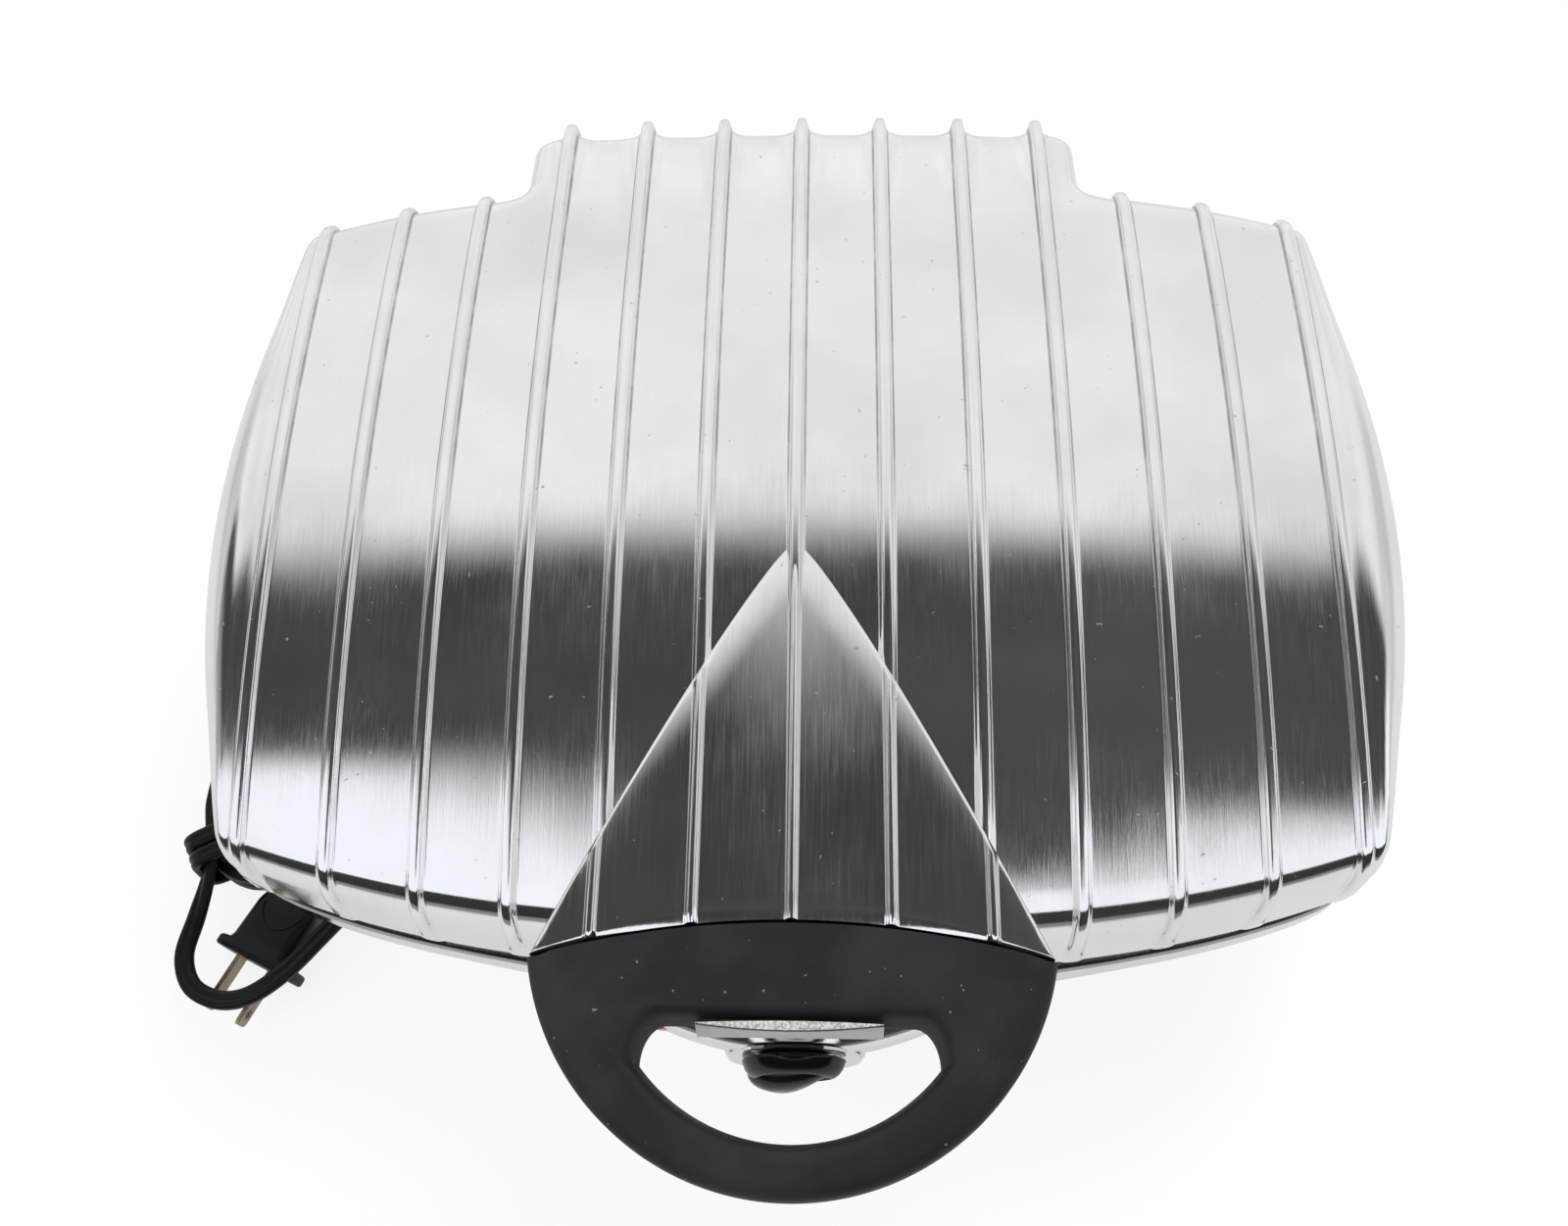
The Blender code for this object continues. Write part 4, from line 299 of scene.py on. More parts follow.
def post(x, y, low, radii, height, steps):
    """Upright round post of cast aluminium."""
    return turned("post", [(radii[0], 0), (radii[1], height)], (x, y, low), (0, 0, 1), CAST, steps)


# Materials

class Signal:
    """Output of a node, with plain arithmetic."""

    def __init__(self, nodes, socket):
        self.nodes, self.socket = nodes, socket

    def __add__(self, other):
        return self.nodes.math("ADD", self, other)

    def __sub__(self, other):
        return self.nodes.math("SUBTRACT", self, other)

    def __rsub__(self, other):
        return self.nodes.math("SUBTRACT", other, self)

    def __mul__(self, other):
        return self.nodes.math("MULTIPLY", self, other)

    def __truediv__(self, other):
        return self.nodes.math("DIVIDE", self, other)


class Nodes:
    """Builds the node tree of a material or a world."""

    def __init__(self, owner):
        owner.use_nodes = True
        self.tree = owner.node_tree

    def feed(self, node, inputs):
        for key, value in inputs.items():
            if isinstance(value, Signal):
                self.tree.links.new(value.socket, node.inputs[key])
            else:
                node.inputs[key].default_value = value

    def add(self, kind, output, inputs, **settings):
        """One output of a new node."""
        node = self.tree.nodes.new(kind)
        for key, value in settings.items():
            setattr(node, key, value)
        self.feed(node, inputs)
        return Signal(self, node.outputs[output])

    def set(self, **values):
        self.feed(self.tree.nodes["Principled BSDF"],
                  {key.replace("_", " "): value for key, value in values.items()})

    def place(self, scale=(1, 1, 1)):
        coords = self.add("ShaderNodeTexCoord", "Object", {})
        return self.add("ShaderNodeMapping", "Vector", {"Vector": coords, "Scale": scale})

    def axes(self, vector=None):
        node = self.tree.nodes.new("ShaderNodeSeparateXYZ")
        self.feed(node, {"Vector": vector or self.place()})
        return [Signal(self, node.outputs[axis]) for axis in "XYZ"]

    def ray(self, kind):
        return self.add("ShaderNodeLightPath", kind, {})

    def noise(self, scale, detail, rough, stretch=(1, 1, 1), vector=None):
        return self.add("ShaderNodeTexNoise", "Fac", {"Scale": scale, "Detail": detail, "Roughness": rough,
                                                      "Vector": vector or self.place(stretch)})

    def between(self, value, low, high, out_low=0.0, out_high=1.0):
        return self.add("ShaderNodeMapRange", "Result",
                        {"Value": value, "From Min": low, "From Max": high,
                         "To Min": out_low, "To Max": out_high}, interpolation_type="SMOOTHSTEP")

    def math(self, operation, a, b=0.0):
        return self.add("ShaderNodeMath", "Value", {0: a, 1: b}, operation=operation)

    def blend(self, share, first, second):
        first, second = (c if isinstance(c, Signal) else (*c, 1) for c in (first, second))
        return self.add("ShaderNodeMix", "Result", {"Factor": share, "A": first, "B": second},
                        data_type="RGBA")

    def mix(self, share, first, second):
        return self.add("ShaderNodeMixShader", 0, {0: share, 1: first, 2: second})

    def glow(self, kind, colour, strength):
        return self.add(kind, 0, {"Color": colour, "Strength": strength})

    def bump(self, height, strength, distance, normal=None):
        inputs = {"Height": height, "Strength": strength, "Distance": distance}
        if normal:
            inputs["Normal"] = normal
        return self.add("ShaderNodeBump", "Normal", inputs)


MATERIALS = {}


def new_material(name):
    MATERIALS[name] = bpy.data.materials.new(name)
    return Nodes(MATERIALS[name])


def polished_aluminium(name, painted_rib_shade=False, painted_shade_above=None):
    """Cast aluminium polished front to back: fine lines, cloudy places, dull specks; can paint shade as dark
    lines along the ribs and as a dark band on the top of a rim.
    """
    n = new_material(name)
    clouds = n.noise(26, 3.0, 0.55)
    small = n.noise(90, 4.0, 0.6)
    lines = n.noise(1.0, 3.0, 0.7, (2600, 26, 400))
    wide_lines = n.noise(1.0, 2.0, 0.6, (900, 9, 150))
    specks = n.between(n.noise(420, 2.0, 0.5), 0.735, 0.77)
    tone = n.blend(n.between(clouds, 0.35, 0.7), (0.955, 0.955, 0.965), (0.90, 0.895, 0.89))
    tone = n.blend(n.between(small, 0.5, 0.8) * 0.10, tone, (0.80, 0.80, 0.82))
    tone = n.blend(specks * 0.55, tone, (0.45, 0.44, 0.42))
    # Painted shade: a dark grey line along each side of every rib, fading in towards the rear.
    if painted_rib_shade:
        x, y, _ = n.axes()
        distance = n.math("ABSOLUTE", n.math("FRACT", x / RIB_PITCH + 100.5) - 0.5) * RIB_PITCH
        off = n.math("ABSOLUTE", distance - RIB_HALF * 0.93)
        line = n.between(off, 0.00012, 0.00050, 1.0, 0.0) * n.between(y, 0.01, 0.04)
        tone = n.blend(line * n.between(small, 0.3, 0.6, 0.45, 0.85), tone, (0.36, 0.36, 0.37))
    # Painted shade: dark grey over the top few millimetres of the base, standing in for the shadowed gap
    # under the lid's rim.
    if painted_shade_above:
        painted_rim_shade = n.between(n.axes()[2], painted_shade_above, painted_shade_above + 0.0006, 0.0, 0.85)
        tone = n.blend(painted_rim_shade, tone, (0.30, 0.30, 0.305))
    rough = n.between(clouds, 0.3, 0.75, 0.055, 0.13) + n.between(lines, 0.35, 0.75, 0.0, 0.07)
    rough = rough + specks * 0.25
    normal = n.bump(wide_lines, 0.018, 0.0008, n.bump(lines, 0.045, 0.0004))
    n.set(Base_Color=tone, Metallic=1.0, Roughness=rough, Normal=normal)


def phenolic(name):
    """Matte black moulded plastic with a fine sandy grain, pale dust specks and rubbed places."""
    n = new_material(name)
    blotch = n.noise(38, 3.0, 0.55)
    dust = n.between(n.noise(520, 1.0, 0.4), 0.775, 0.80)
    tone = n.blend(n.between(blotch, 0.35, 0.7), (0.0125, 0.0120, 0.0140), (0.022, 0.0215, 0.024))
    n.set(Base_Color=n.blend(dust * 0.5, tone, (0.28, 0.27, 0.26)),
          Roughness=n.between(blotch, 0.3, 0.7, 0.50, 0.64),
          Normal=n.bump(n.noise(1500, 3.0, 0.7), 0.35, 0.0004), Specular_IOR_Level=0.30)


def speckled_edge(name):
    """Pale grey edge with coarse pale and dark grains."""
    n = new_material(name)
    grains = n.noise(1300, 2.0, 0.6)
    coarse = n.noise(520, 2.0, 0.5)
    tone = n.blend(n.between(grains, 0.42, 0.60), (0.36, 0.35, 0.33), (0.68, 0.67, 0.64))
    tone = n.blend(n.between(coarse, 0.55, 0.7) * 0.5, tone, (0.80, 0.79, 0.77))
    n.set(Base_Color=tone, Roughness=n.between(coarse, 0.3, 0.7, 0.45, 0.65),
          Normal=n.bump(grains, 0.5, 0.0004))


def plain_metal(name, low, high, rough, grain_scale, strength):
    """Metal whose tone and roughness vary with a cloudy noise and a fine grain."""
    n = new_material(name)
    clouds = n.noise(45, 3.0, 0.6)
    grain = n.noise(1.0, 3.0, 0.65, (grain_scale,) * 3)
    cloudy_rough = n.between(clouds, 0.3, 0.7, rough * 0.8, rough * 1.15)
    n.set(Base_Color=n.blend(clouds, low, high), Metallic=1.0,
          Roughness=cloudy_rough + n.between(grain, 0.4, 0.8, 0.0, 0.08),
          Normal=n.bump(grain, strength, 0.0003))


def cloudy(name, low, high, cloud_noise, grain_noise, rough, bump, rough_by_grain=False, **sockets):
    """Tone and roughness vary with a cloudy noise, and a finer grain gives the bump."""
    n = new_material(name)
    clouds = n.noise(*cloud_noise)
    grain = n.noise(*grain_noise) if grain_noise else clouds
    n.set(Base_Color=n.blend(clouds, low, high), Normal=n.bump(grain, *bump),
          Roughness=n.between(grain if rough_by_grain else clouds, *rough), **sockets)


def plain_plastic(name, low, high, rough, grain_scale, strength, spread=(0.88, 1.1), **sockets):
    """Moulded plastic, ceramic or rubber, with a cloudy tone and a fine grain."""
    cloudy(name, low, high, (60, 3.0, 0.6), (grain_scale, 3.0, 0.6),
           (0.3, 0.7, rough * spread[0], rough * spread[1]), (strength, 0.0003), **sockets)


def lens(name, low, high):
    """Clear-coated lamp cap."""
    cloudy(name, low, high, (300, 2.0, 0.5), None, (0.3, 0.7, 0.08, 0.16), (0.03, 0.0002), Coat_Weight=0.4)


polished_aluminium("polished_aluminium")
# Lid casting: painted shade lines along its ribs.
polished_aluminium("polished_lid", painted_rib_shade=True)
# Base casting: painted shade on the top of its rim.
polished_aluminium("polished_base", painted_shade_above=BASE_RIM_Z - 0.0030)
phenolic("black_phenolic")
cloudy("gloss_black", (0.004, 0.004, 0.0045), (0.008, 0.008, 0.009), (70, 3.0, 0.6), (900, 2.0, 0.5),
       (0.3, 0.75, 0.07, 0.17), (0.02, 0.0002), Specular_IOR_Level=0.36)
cloudy("silver_plate", (0.50, 0.50, 0.51), (0.62, 0.62, 0.63), (120, 2.0, 0.5), (1100, 3.0, 0.7),
       (0.3, 0.7, 0.30, 0.48), (0.25, 0.0003), rough_by_grain=True, Metallic=1.0)
speckled_edge("speckled_edge")
plain_plastic("non_stick", (0.018, 0.018, 0.019), (0.034, 0.033, 0.033), 0.42, 900, 0.25)
plain_metal("heater_sheath", (0.10, 0.09, 0.085), (0.22, 0.20, 0.18), 0.46, 400, 0.2)
plain_metal("galvanised_sheet", (0.55, 0.56, 0.57), (0.70, 0.71, 0.72), 0.38, 260, 0.12)
plain_metal("steel", (0.50, 0.50, 0.50), (0.62, 0.62, 0.61), 0.30, 500, 0.15)
plain_plastic("ceramic", (0.74, 0.72, 0.66), (0.84, 0.82, 0.77), 0.5, 600, 0.15)
plain_plastic("rubber", (0.014, 0.014, 0.014), (0.026, 0.026, 0.026), 0.75, 800, 0.25)
plain_plastic("cord_black", (0.0030, 0.0030, 0.0035), (0.0070, 0.0070, 0.0080), 0.36, 1200, 0.2,
              (0.85, 1.15), Specular_IOR_Level=0.22)
plain_metal("blade_metal", (0.26, 0.21, 0.14), (0.50, 0.43, 0.31), 0.34, 300, 0.25)
plain_metal("dial_face", (0.91, 0.91, 0.915), (0.95, 0.95, 0.955), 0.12, 500, 0.05)
lens("red_lens", (0.35, 0.015, 0.01), (0.55, 0.03, 0.02))
lens("amber_lens", (0.60, 0.25, 0.02), (0.80, 0.40, 0.06))
CAST, BLACK = MATERIALS["polished_aluminium"], MATERIALS["cord_black"]
SLOT_OF = {entry["node"]: entry["material_slot"] for entry in frame["record"]["subparts"]}


# Camera, light and floor

def make_camera():
    data = bpy.data.cameras.new("camera")
    data.sensor_width = 36.0
    data.lens = 31.5
    data.clip_start = 0.01
    obj = link("camera", data)
    place = (0.0096, -0.1964, 0.465)
    yaw, slope, roll = math.radians(-4.02), math.radians(62), math.radians(3.38)
    forward = Vector((math.sin(yaw) * math.cos(slope), math.cos(yaw) * math.cos(slope), -math.sin(slope)))
    level = Vector((math.cos(yaw), -math.sin(yaw), 0))
    down = forward.cross(level)
    right = level * math.cos(roll) + down * math.sin(roll)
    up = level * math.sin(roll) - down * math.cos(roll)
    rows = [(right[i], up[i], -forward[i], place[i]) for i in range(3)]
    obj.matrix_world = Matrix(rows + [(0, 0, 0, 1)])
    bpy.context.scene.camera = obj


def make_world():
    """White surroundings; a dark hood above the object and a dark band in front show in gloss alone."""
    world = bpy.data.worlds.new("studio")
    bpy.context.scene.world = world
    n = Nodes(world)
    n.tree.nodes.clear()
    direction = n.add("ShaderNodeTexCoord", "Generated", {})
    x, y, z = n.axes(direction)
    along = n.math("ARCTAN2", y, z) * (180 / math.pi)
    across = n.math("ARCSINE", x) * (180 / math.pi)
    aside = n.math("ABSOLUTE", across)
    wobble = n.noise(2.6, 3.0, 0.55, vector=direction) - 0.5
    left = n.between(across * -1.0, 42.0, 58.0)
    rear_side = n.between(along + n.between(aside, 8.0, 34.0) - left * 24.0, 8.0, 15.5)
    rear_level = (wobble * 0.5 + 0.84) * (1.0 - n.between(aside, 50.0, 62.0) * 0.30)
    limit = n.between(across, -27.0, -2.0) * -13.0 + n.between(across, 14.0, 26.0) * 8.0
    limit = limit - 11.5 + wobble * 9.0
    soft = n.between(across, -27.0, -19.0) - n.between(across, -12.0, -4.0)
    front_side = n.between((limit - along) / (soft * 4.0 + 2.2), -1.0, 1.0)
    far_side = n.between(aside, 58.0, 70.0) * (1.0 - left * n.between(along, -14.0, -4.0) * 0.75)
    band = n.between(along * -1.0, 44.0, 50.0)
    low_side = n.math("MAXIMUM", front_side, far_side) * (1.0 - band * 0.98)
    dark = (wobble * 0.12 + 0.058) * (1.0 - band * 0.75)
    low_level = n.math("MAXIMUM", low_side * 0.94 + dark, 0.012)
    level = n.add("ShaderNodeMix", "Result", {"Factor": rear_side, "A": low_level, "B": rear_level},
                  data_type="FLOAT")
    warm = n.blend(n.math("MAXIMUM", rear_side, low_side), (1.0, 0.955, 0.925), (1.0, 0.998, 0.995))
    cool = n.blend(low_side * (1.0 - rear_side), warm, (0.93, 0.95, 1.0))
    white = (1, 1, 1, 1)
    lit = n.mix(n.ray("Is Glossy Ray"), n.glow("ShaderNodeBackground", white, 0.80),
                n.glow("ShaderNodeBackground", cool, level))
    seen = n.mix(n.ray("Is Camera Ray"), lit, n.glow("ShaderNodeBackground", white, 1.0))
    n.feed(n.tree.nodes.new("ShaderNodeOutputWorld"), {"Surface": seen})


def make_floor():
    """Pale sheet that shows white to the camera, keeps the shadow, and is dark far in front for gloss."""
    size = 4.0
    mesh = bpy.data.meshes.new("floor")
    corners = [(-size, -size, 0), (size, -size, 0), (size, size, 0), (-size, size, 0)]
    mesh.from_pydata(corners, [], [(0, 1, 2, 3)])
    floor = link("floor", mesh)
    n = new_material("floor")
    tone = n.blend(n.noise(3.0, 2.0, 0.5), (0.93, 0.925, 0.925), (0.95, 0.948, 0.948))
    n.set(Base_Color=tone, Roughness=0.9, Specular_IOR_Level=0.1)
    paper = Signal(n, n.tree.nodes["Principled BSDF"].outputs[0])
    dim = n.blend(n.between(n.axes()[1], -0.52, -0.34), (0.04, 0.04, 0.045), (1.0, 0.99, 0.98))
    shown = n.math("MAXIMUM", n.ray("Is Camera Ray"), n.ray("Is Transmission Ray"))
    lit = n.mix(shown * 0.84, paper, n.glow("ShaderNodeEmission", (1, 1, 1, 1), 1.0))
    mirrored = n.mix(n.ray("Is Glossy Ray") * 0.8, lit, n.glow("ShaderNodeEmission", dim, 0.66))
    n.feed(n.tree.nodes["Material Output"], {"Surface": mirrored})
    mesh.materials.append(MATERIALS["floor"])


def area_light(name, place, power):
    """Round lamp that shines on the middle of the grill and isn't seen, not in reflections either."""
    data = bpy.data.lights.new(name, "AREA")
    data.shape = "DISK"
    data.size = LAMP_SIZE
    data.energy = power
    obj = link(name, data)
    obj.location = place
    obj.rotation_euler = (Vector(LAMP_TARGET) - Vector(place)).to_track_quat("-Z", "Y").to_euler()
    obj.visible_glossy = False
    obj.visible_camera = False


# Cord and plug

def hank_plan(share):
    """Point of a turn in plan, clockwise from the front end of the left run."""
    run = HANK_REAR_Y - HANK_FRONT_Y
    bend = math.pi * HANK_RADIUS
    length = share % 1 * 2 * (run + bend)
    if length < run:
        return HANK_X - HANK_RADIUS, HANK_FRONT_Y + length
    length -= run
    if length < bend:
        angle = math.pi - length / HANK_RADIUS
        return HANK_X + HANK_RADIUS * math.cos(angle), HANK_REAR_Y + HANK_RADIUS * math.sin(angle)
    length -= bend
    if length < run:
        return HANK_X + HANK_RADIUS, HANK_REAR_Y - length
    angle = (run - length) / HANK_RADIUS
    return HANK_X + HANK_RADIUS * math.cos(angle), HANK_FRONT_Y + HANK_RADIUS * math.sin(angle)


def hank_points():
    """Middle line of the folded cord, which climbs one layer in each turn and rises under the tie."""
    first, last = HANK_CLIMB_SHARES
    low = CORD_DIAMETER / 2 + CORD_FLOOR_GAP
    points = []
    count = round((HANK_TURNS - HANK_START_SHARE) * 64)
    for i in range(count + 1):
        turns = HANK_START_SHARE + (HANK_TURNS - HANK_START_SHARE) * i / count
        x, y = hank_plan(turns)
        layer = math.floor(HANK_TURNS) - math.floor(turns) - ease((turns % 1 - first) / (last - first))
        near = math.hypot(x - TIE_X, y - TIE_Y)
        lift = TIE_LIFT * max(1 - (near / TIE_REACH) ** 2, 0)
        points.append(Vector((x, y, low + layer * HANK_STEP + lift)))
    return points


def gland_seat():
    """Where the boss of the cord gland ends, behind the sloping rear wall."""
    share = (GLAND_Z - FOOT_HEIGHT) / (BASE_RIM_Z - FOOT_HEIGHT)
    inset = 0.0
    for i in range(len(BASE_LEVEL_SHARES) - 1):
        low, high = BASE_LEVEL_SHARES[i], BASE_LEVEL_SHARES[i + 1]
        if low <= share <= high:
            part = (share - low) / (high - low)
            inset = BASE_INSET_SHARES[i] * (1 - part) + BASE_INSET_SHARES[i + 1] * part
    return recessed_rear(GLAND_X) - REAR_UNDERCUT * inset + GLAND_BOSS


def plug_frame():
    ahead = Vector((math.sin(PLUG_HEADING), math.cos(PLUG_HEADING), 0))
    return ahead, Vector((ahead.y, -ahead.x, 0)), Vector((0, 0, 1))


def plug_point(along, across, up):
    ahead, side, top = plug_frame()
    return Vector((PLUG_X, PLUG_Y, PLUG_Z)) + ahead * along + side * across + top * up


def lead_route(hank_start):
    start = Vector((GLAND_X, gland_seat() + SEAT_GAP * 2 + 0.023, GLAND_Z))
    low = CORD_DIAMETER / 2 + CORD_FLOOR_GAP
    over_plug = PLUG_Z + PLUG_FLANGE_HEIGHT / 2 + CORD_DIAMETER / 2 + RUN_GAP
    over_blade = PLUG_Z + BLADE_HEIGHT / 2 + CORD_DIAMETER / 2 + RUN_GAP
    return [start, start + Vector((0, CORD_DIAMETER, 0)),
            (-0.1225, 0.1766, 0.0190), (-0.1330, 0.1856, 0.0105), (-0.1480, 0.1866, 0.0050),
            (-0.1600, 0.1766, low), (-0.1640, 0.1586, low), (-0.1600, 0.1286, low),
            (-0.1560, 0.0886, low), (-0.1530, 0.0436, low), (-0.1520, -0.0014, low),
            (-0.1510, -0.0354, low), (-0.1505, -0.0534, 0.0060), (-0.1525, -0.0684, 0.0120),
            (-0.1590, -0.0819, 0.0180), (-0.1685, -0.0944, over_plug), (-0.1795, -0.1010, 0.0178),
            (-0.1900, -0.1014, over_blade), (-0.1995, -0.0970, 0.0145), (-0.2042, -0.0875, 0.0145),
            (-0.2028, -0.0744, 0.0150), (-0.2012, -0.0634, 0.0165), (-0.2010, -0.0534, 0.0172),
            (-0.2032, -0.0444, 0.0164),
            hank_start - Vector((0, CORD_DIAMETER, 0)), hank_start]


def tail_route(hank_end):
    low = hank_end[2]
    rear = plug_point(-PLUG_FLANGE - PLUG_BODY - PLUG_TAIL - SEAT_GAP, 0, 0)
    ahead = plug_frame()[0]
    return [hank_end, hank_end - Vector((0, CORD_DIAMETER, 0)), (-0.1685, 0.0166, low),
            (-0.1650, 0.0006, low), (-0.1628, -0.0194, low + 0.0008), (-0.1618, -0.0354, low + 0.0035),
            rear - ahead * CORD_DIAMETER, rear]


def dense_route(points):
    """Smooth curve through points, each but the first and last span in 24 steps."""
    points = [Vector(p) for p in points]
    dense = [points[0]]
    for a, b, c, d in zip(points, points[1:], points[2:], points[3:]):
        first = math.sqrt((b - a).length)
        middle = math.sqrt((c - b).length)
        last = math.sqrt((d - c).length)
        into = ((b - a) / first - (c - a) / (first + middle) + (c - b) / middle) * middle
        out = ((c - b) / middle - (d - b) / (middle + last) + (d - c) / last) * middle
        dense += [hermite(i / 24, b, into, c, out) for i in range(24)]
    return dense + points[-2:]


def even_points(points, spacing):
    """Points at even steps along a route."""
    marks = marks_along(points)
    steps = round(marks[-1] / spacing)
    result = []
    at = 0
    for i in range(steps + 1):
        want = marks[-1] * i / steps
        while at < len(marks) - 2 and marks[at + 1] < want:
            at += 1
        span = marks[at + 1] - marks[at]
        part = (want - marks[at]) / span if span > 0 else 0
        result.append(points[at].lerp(points[at + 1], part))
    return result


def flat_profile(width, thickness, steps=40):
    """Two round conductors side by side with a web and a fine ridge between them."""
    points = []
    for i in range(steps):
        angle = 2 * math.pi * i / steps
        x, y = math.cos(angle), math.sin(angle)
        waist = 1 - 0.30 * math.exp(-(x / 0.24) ** 2) + 0.08 * math.exp(-(x / 0.09) ** 2)
        flat = math.copysign(abs(y) ** 0.62, y)
        points.append((x * width / 2, flat * thickness / 2 * waist))
    return points


def ribbon_tube(name, points, flatness, width, thickness, material):
    """Tube of flat section. flatness(i) turns the wide side from upright (0) to lying (1)."""
    profile = flat_profile(width, thickness)
    rings = []
    for i, point in enumerate(points):
        before = points[max(i - 1, 0)]
        after = points[min(i + 1, len(points) - 1)]
        along = (after - before).normalized()
        level = along.cross(Vector((0, 0, 1))).normalized()
        upright = level.cross(along).normalized()
        lying = flatness(i) * math.pi / 2
        wide = upright * math.cos(lying) + level * math.sin(lying)
        thin = along.cross(wide)
        rings.append([point + wide * x + thin * y for x, y in profile])
    return loft(name, rings, material, 60)


def make_cord():
    """The whole cord as one flat tube, upright in the hank and lying flat before and after it."""
    hank = hank_points()
    gap = Vector((0, SEAT_GAP, 0))
    lead = dense_route(lead_route(hank[0] - gap))
    tail = dense_route(tail_route(hank[-1] - gap))
    whole = lead + hank + tail
    points = even_points(whole, 0.0022)
    length, lead_length, tail_length = (marks_along(part)[-1] for part in (whole, lead, tail))
    marks = marks_along(points)

    def flatness(i):
        into_hank = ease((marks[i] - (lead_length - 0.055)) / 0.045)
        out_of_hank = ease((marks[i] - (length - tail_length + 0.015)) / 0.05)
        return 1 - into_hank + out_of_hank

    drop = (CORD_DIAMETER - CORD_THICKNESS) / 2 + CORD_FLOOR_GAP * 0.5
    settled = []
    for i, point in enumerate(points):
        share = flatness(i) * ease((CORD_DIAMETER * 1.4 - point.z) / CORD_DIAMETER)
        settled.append(point - Vector((0, 0, drop * share)))
    cord = ribbon_tube("cord", settled, flatness, CORD_WIDTH, CORD_THICKNESS, BLACK)
    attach(cord, "base")
    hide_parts("cord_lead", "cord_hank", "cord_tail")
    return cord, settled, length


def make_wrap():
    """Cord end wound twice round the strands, as two ridged bands."""
    centre = Vector((TIE_X + 0.0015, TIE_Y, 0.0105))
    heading = TIE_HEADING + 0.35
    along = Vector((-math.sin(heading), math.cos(heading), 0))
    across = Vector((along.y, -along.x, 0))
    low, high, half_width, corner = -0.0088, 0.0112, 0.0078, 0.0062
    section = flat_profile(0.0060, 0.0034, 28)
    bands = []
    for shift in (-0.0032, 0.0032):
        loop = [centre + along * (shift + 0.0008 * math.sin(z * 300)) + across * x + Vector((0, 0, z))
                for x, z in rounded_rectangle(-half_width, low, half_width, high, corner)]
        middle = sum(loop, Vector()) / len(loop)
        rings = []
        for point in loop:
            outward = point - middle
            outward -= along * outward.dot(along)
            outward.normalize()
            rings.append([point + along * x + outward * y for x, y in section])
        bands.append(loft("wrap_part", rings, BLACK, 60, "joined"))
    wrap = join(bands[0], bands[1:])
    wrap.name = "cord_wrap"
    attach(wrap, "base")
    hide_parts("cord_tie")
    return wrap


def plug_ring(along, width, height, corner):
    return [plug_point(along, x, y)
            for x, y in rounded_rectangle(-width / 2, -height / 2, width / 2, height / 2, corner)]


def make_plug():
    """Flange, tapered body, ribbed tail, and a curved grip line on one face."""
    width, height, tail = PLUG_BODY_WIDTH, PLUG_BODY_HEIGHT, PLUG_TAIL_WIDTH
    wide, tall, corner, edge = PLUG_FLANGE_WIDTH, PLUG_FLANGE_HEIGHT, PLUG_FLANGE_HEIGHT * 0.3, 0.0007
    sections = [(0, wide - edge * 2, tall - edge * 2, corner - edge),
                (-edge * 0.4, wide - edge * 0.6, tall - edge * 0.6, corner),
                (-edge, wide, tall, corner),
                (-PLUG_FLANGE + edge, wide, tall, corner),
                (-PLUG_FLANGE, wide - edge * 1.6, tall - edge * 1.2, corner),
                (-PLUG_FLANGE - edge * 0.5, width + edge, height + edge, height * 0.3)]
    steps = 14
    for i in range(1, steps + 1):
        share = i / steps
        late = max(share - 0.6, 0)
        low = 1 - 0.06 * share - late * 0.4
        sections.append((-PLUG_FLANGE - PLUG_BODY * share, width * (1 - 0.08 * share - late * 0.75),
                         height * low, height * 0.3 * low))
    tail_start, ribs = -PLUG_FLANGE - PLUG_BODY, 4
    for k in range(ribs):
        share = (k + 0.5) / ribs
        full = tail + (width * 0.62 - tail) * (1 - share) ** 2
        for step, scale in ((-0.3, 1.0), (-0.15, 0.86), (0.15, 0.86), (0.3, 1.0)):
            sections.append((tail_start - PLUG_TAIL * share - step * PLUG_TAIL / ribs, full * scale,
                             tail * 0.85 * (1.15 - 0.15 * share) * scale, tail * 0.36 * scale))
    sections.append((tail_start - PLUG_TAIL, tail, tail * 0.82, tail * 0.36))
    body = loft("plug_moulding", [plug_ring(*section) for section in sections], BLACK, 50)
    grip = []
    for i in range(25):
        angle = math.radians(-70 + 140 * i / 24)
        grip.append(plug_point(-PLUG_FLANGE - 0.0185 + 0.0105 * math.cos(angle), 0.0078 * math.sin(angle),
                               height * 0.48))
    join(body, [ribbon_tube("grip_line", grip, lambda i: 0.0, 0.0011, 0.0009, BLACK)])
    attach(body, "base")
    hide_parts("plug_body")
    return [body]


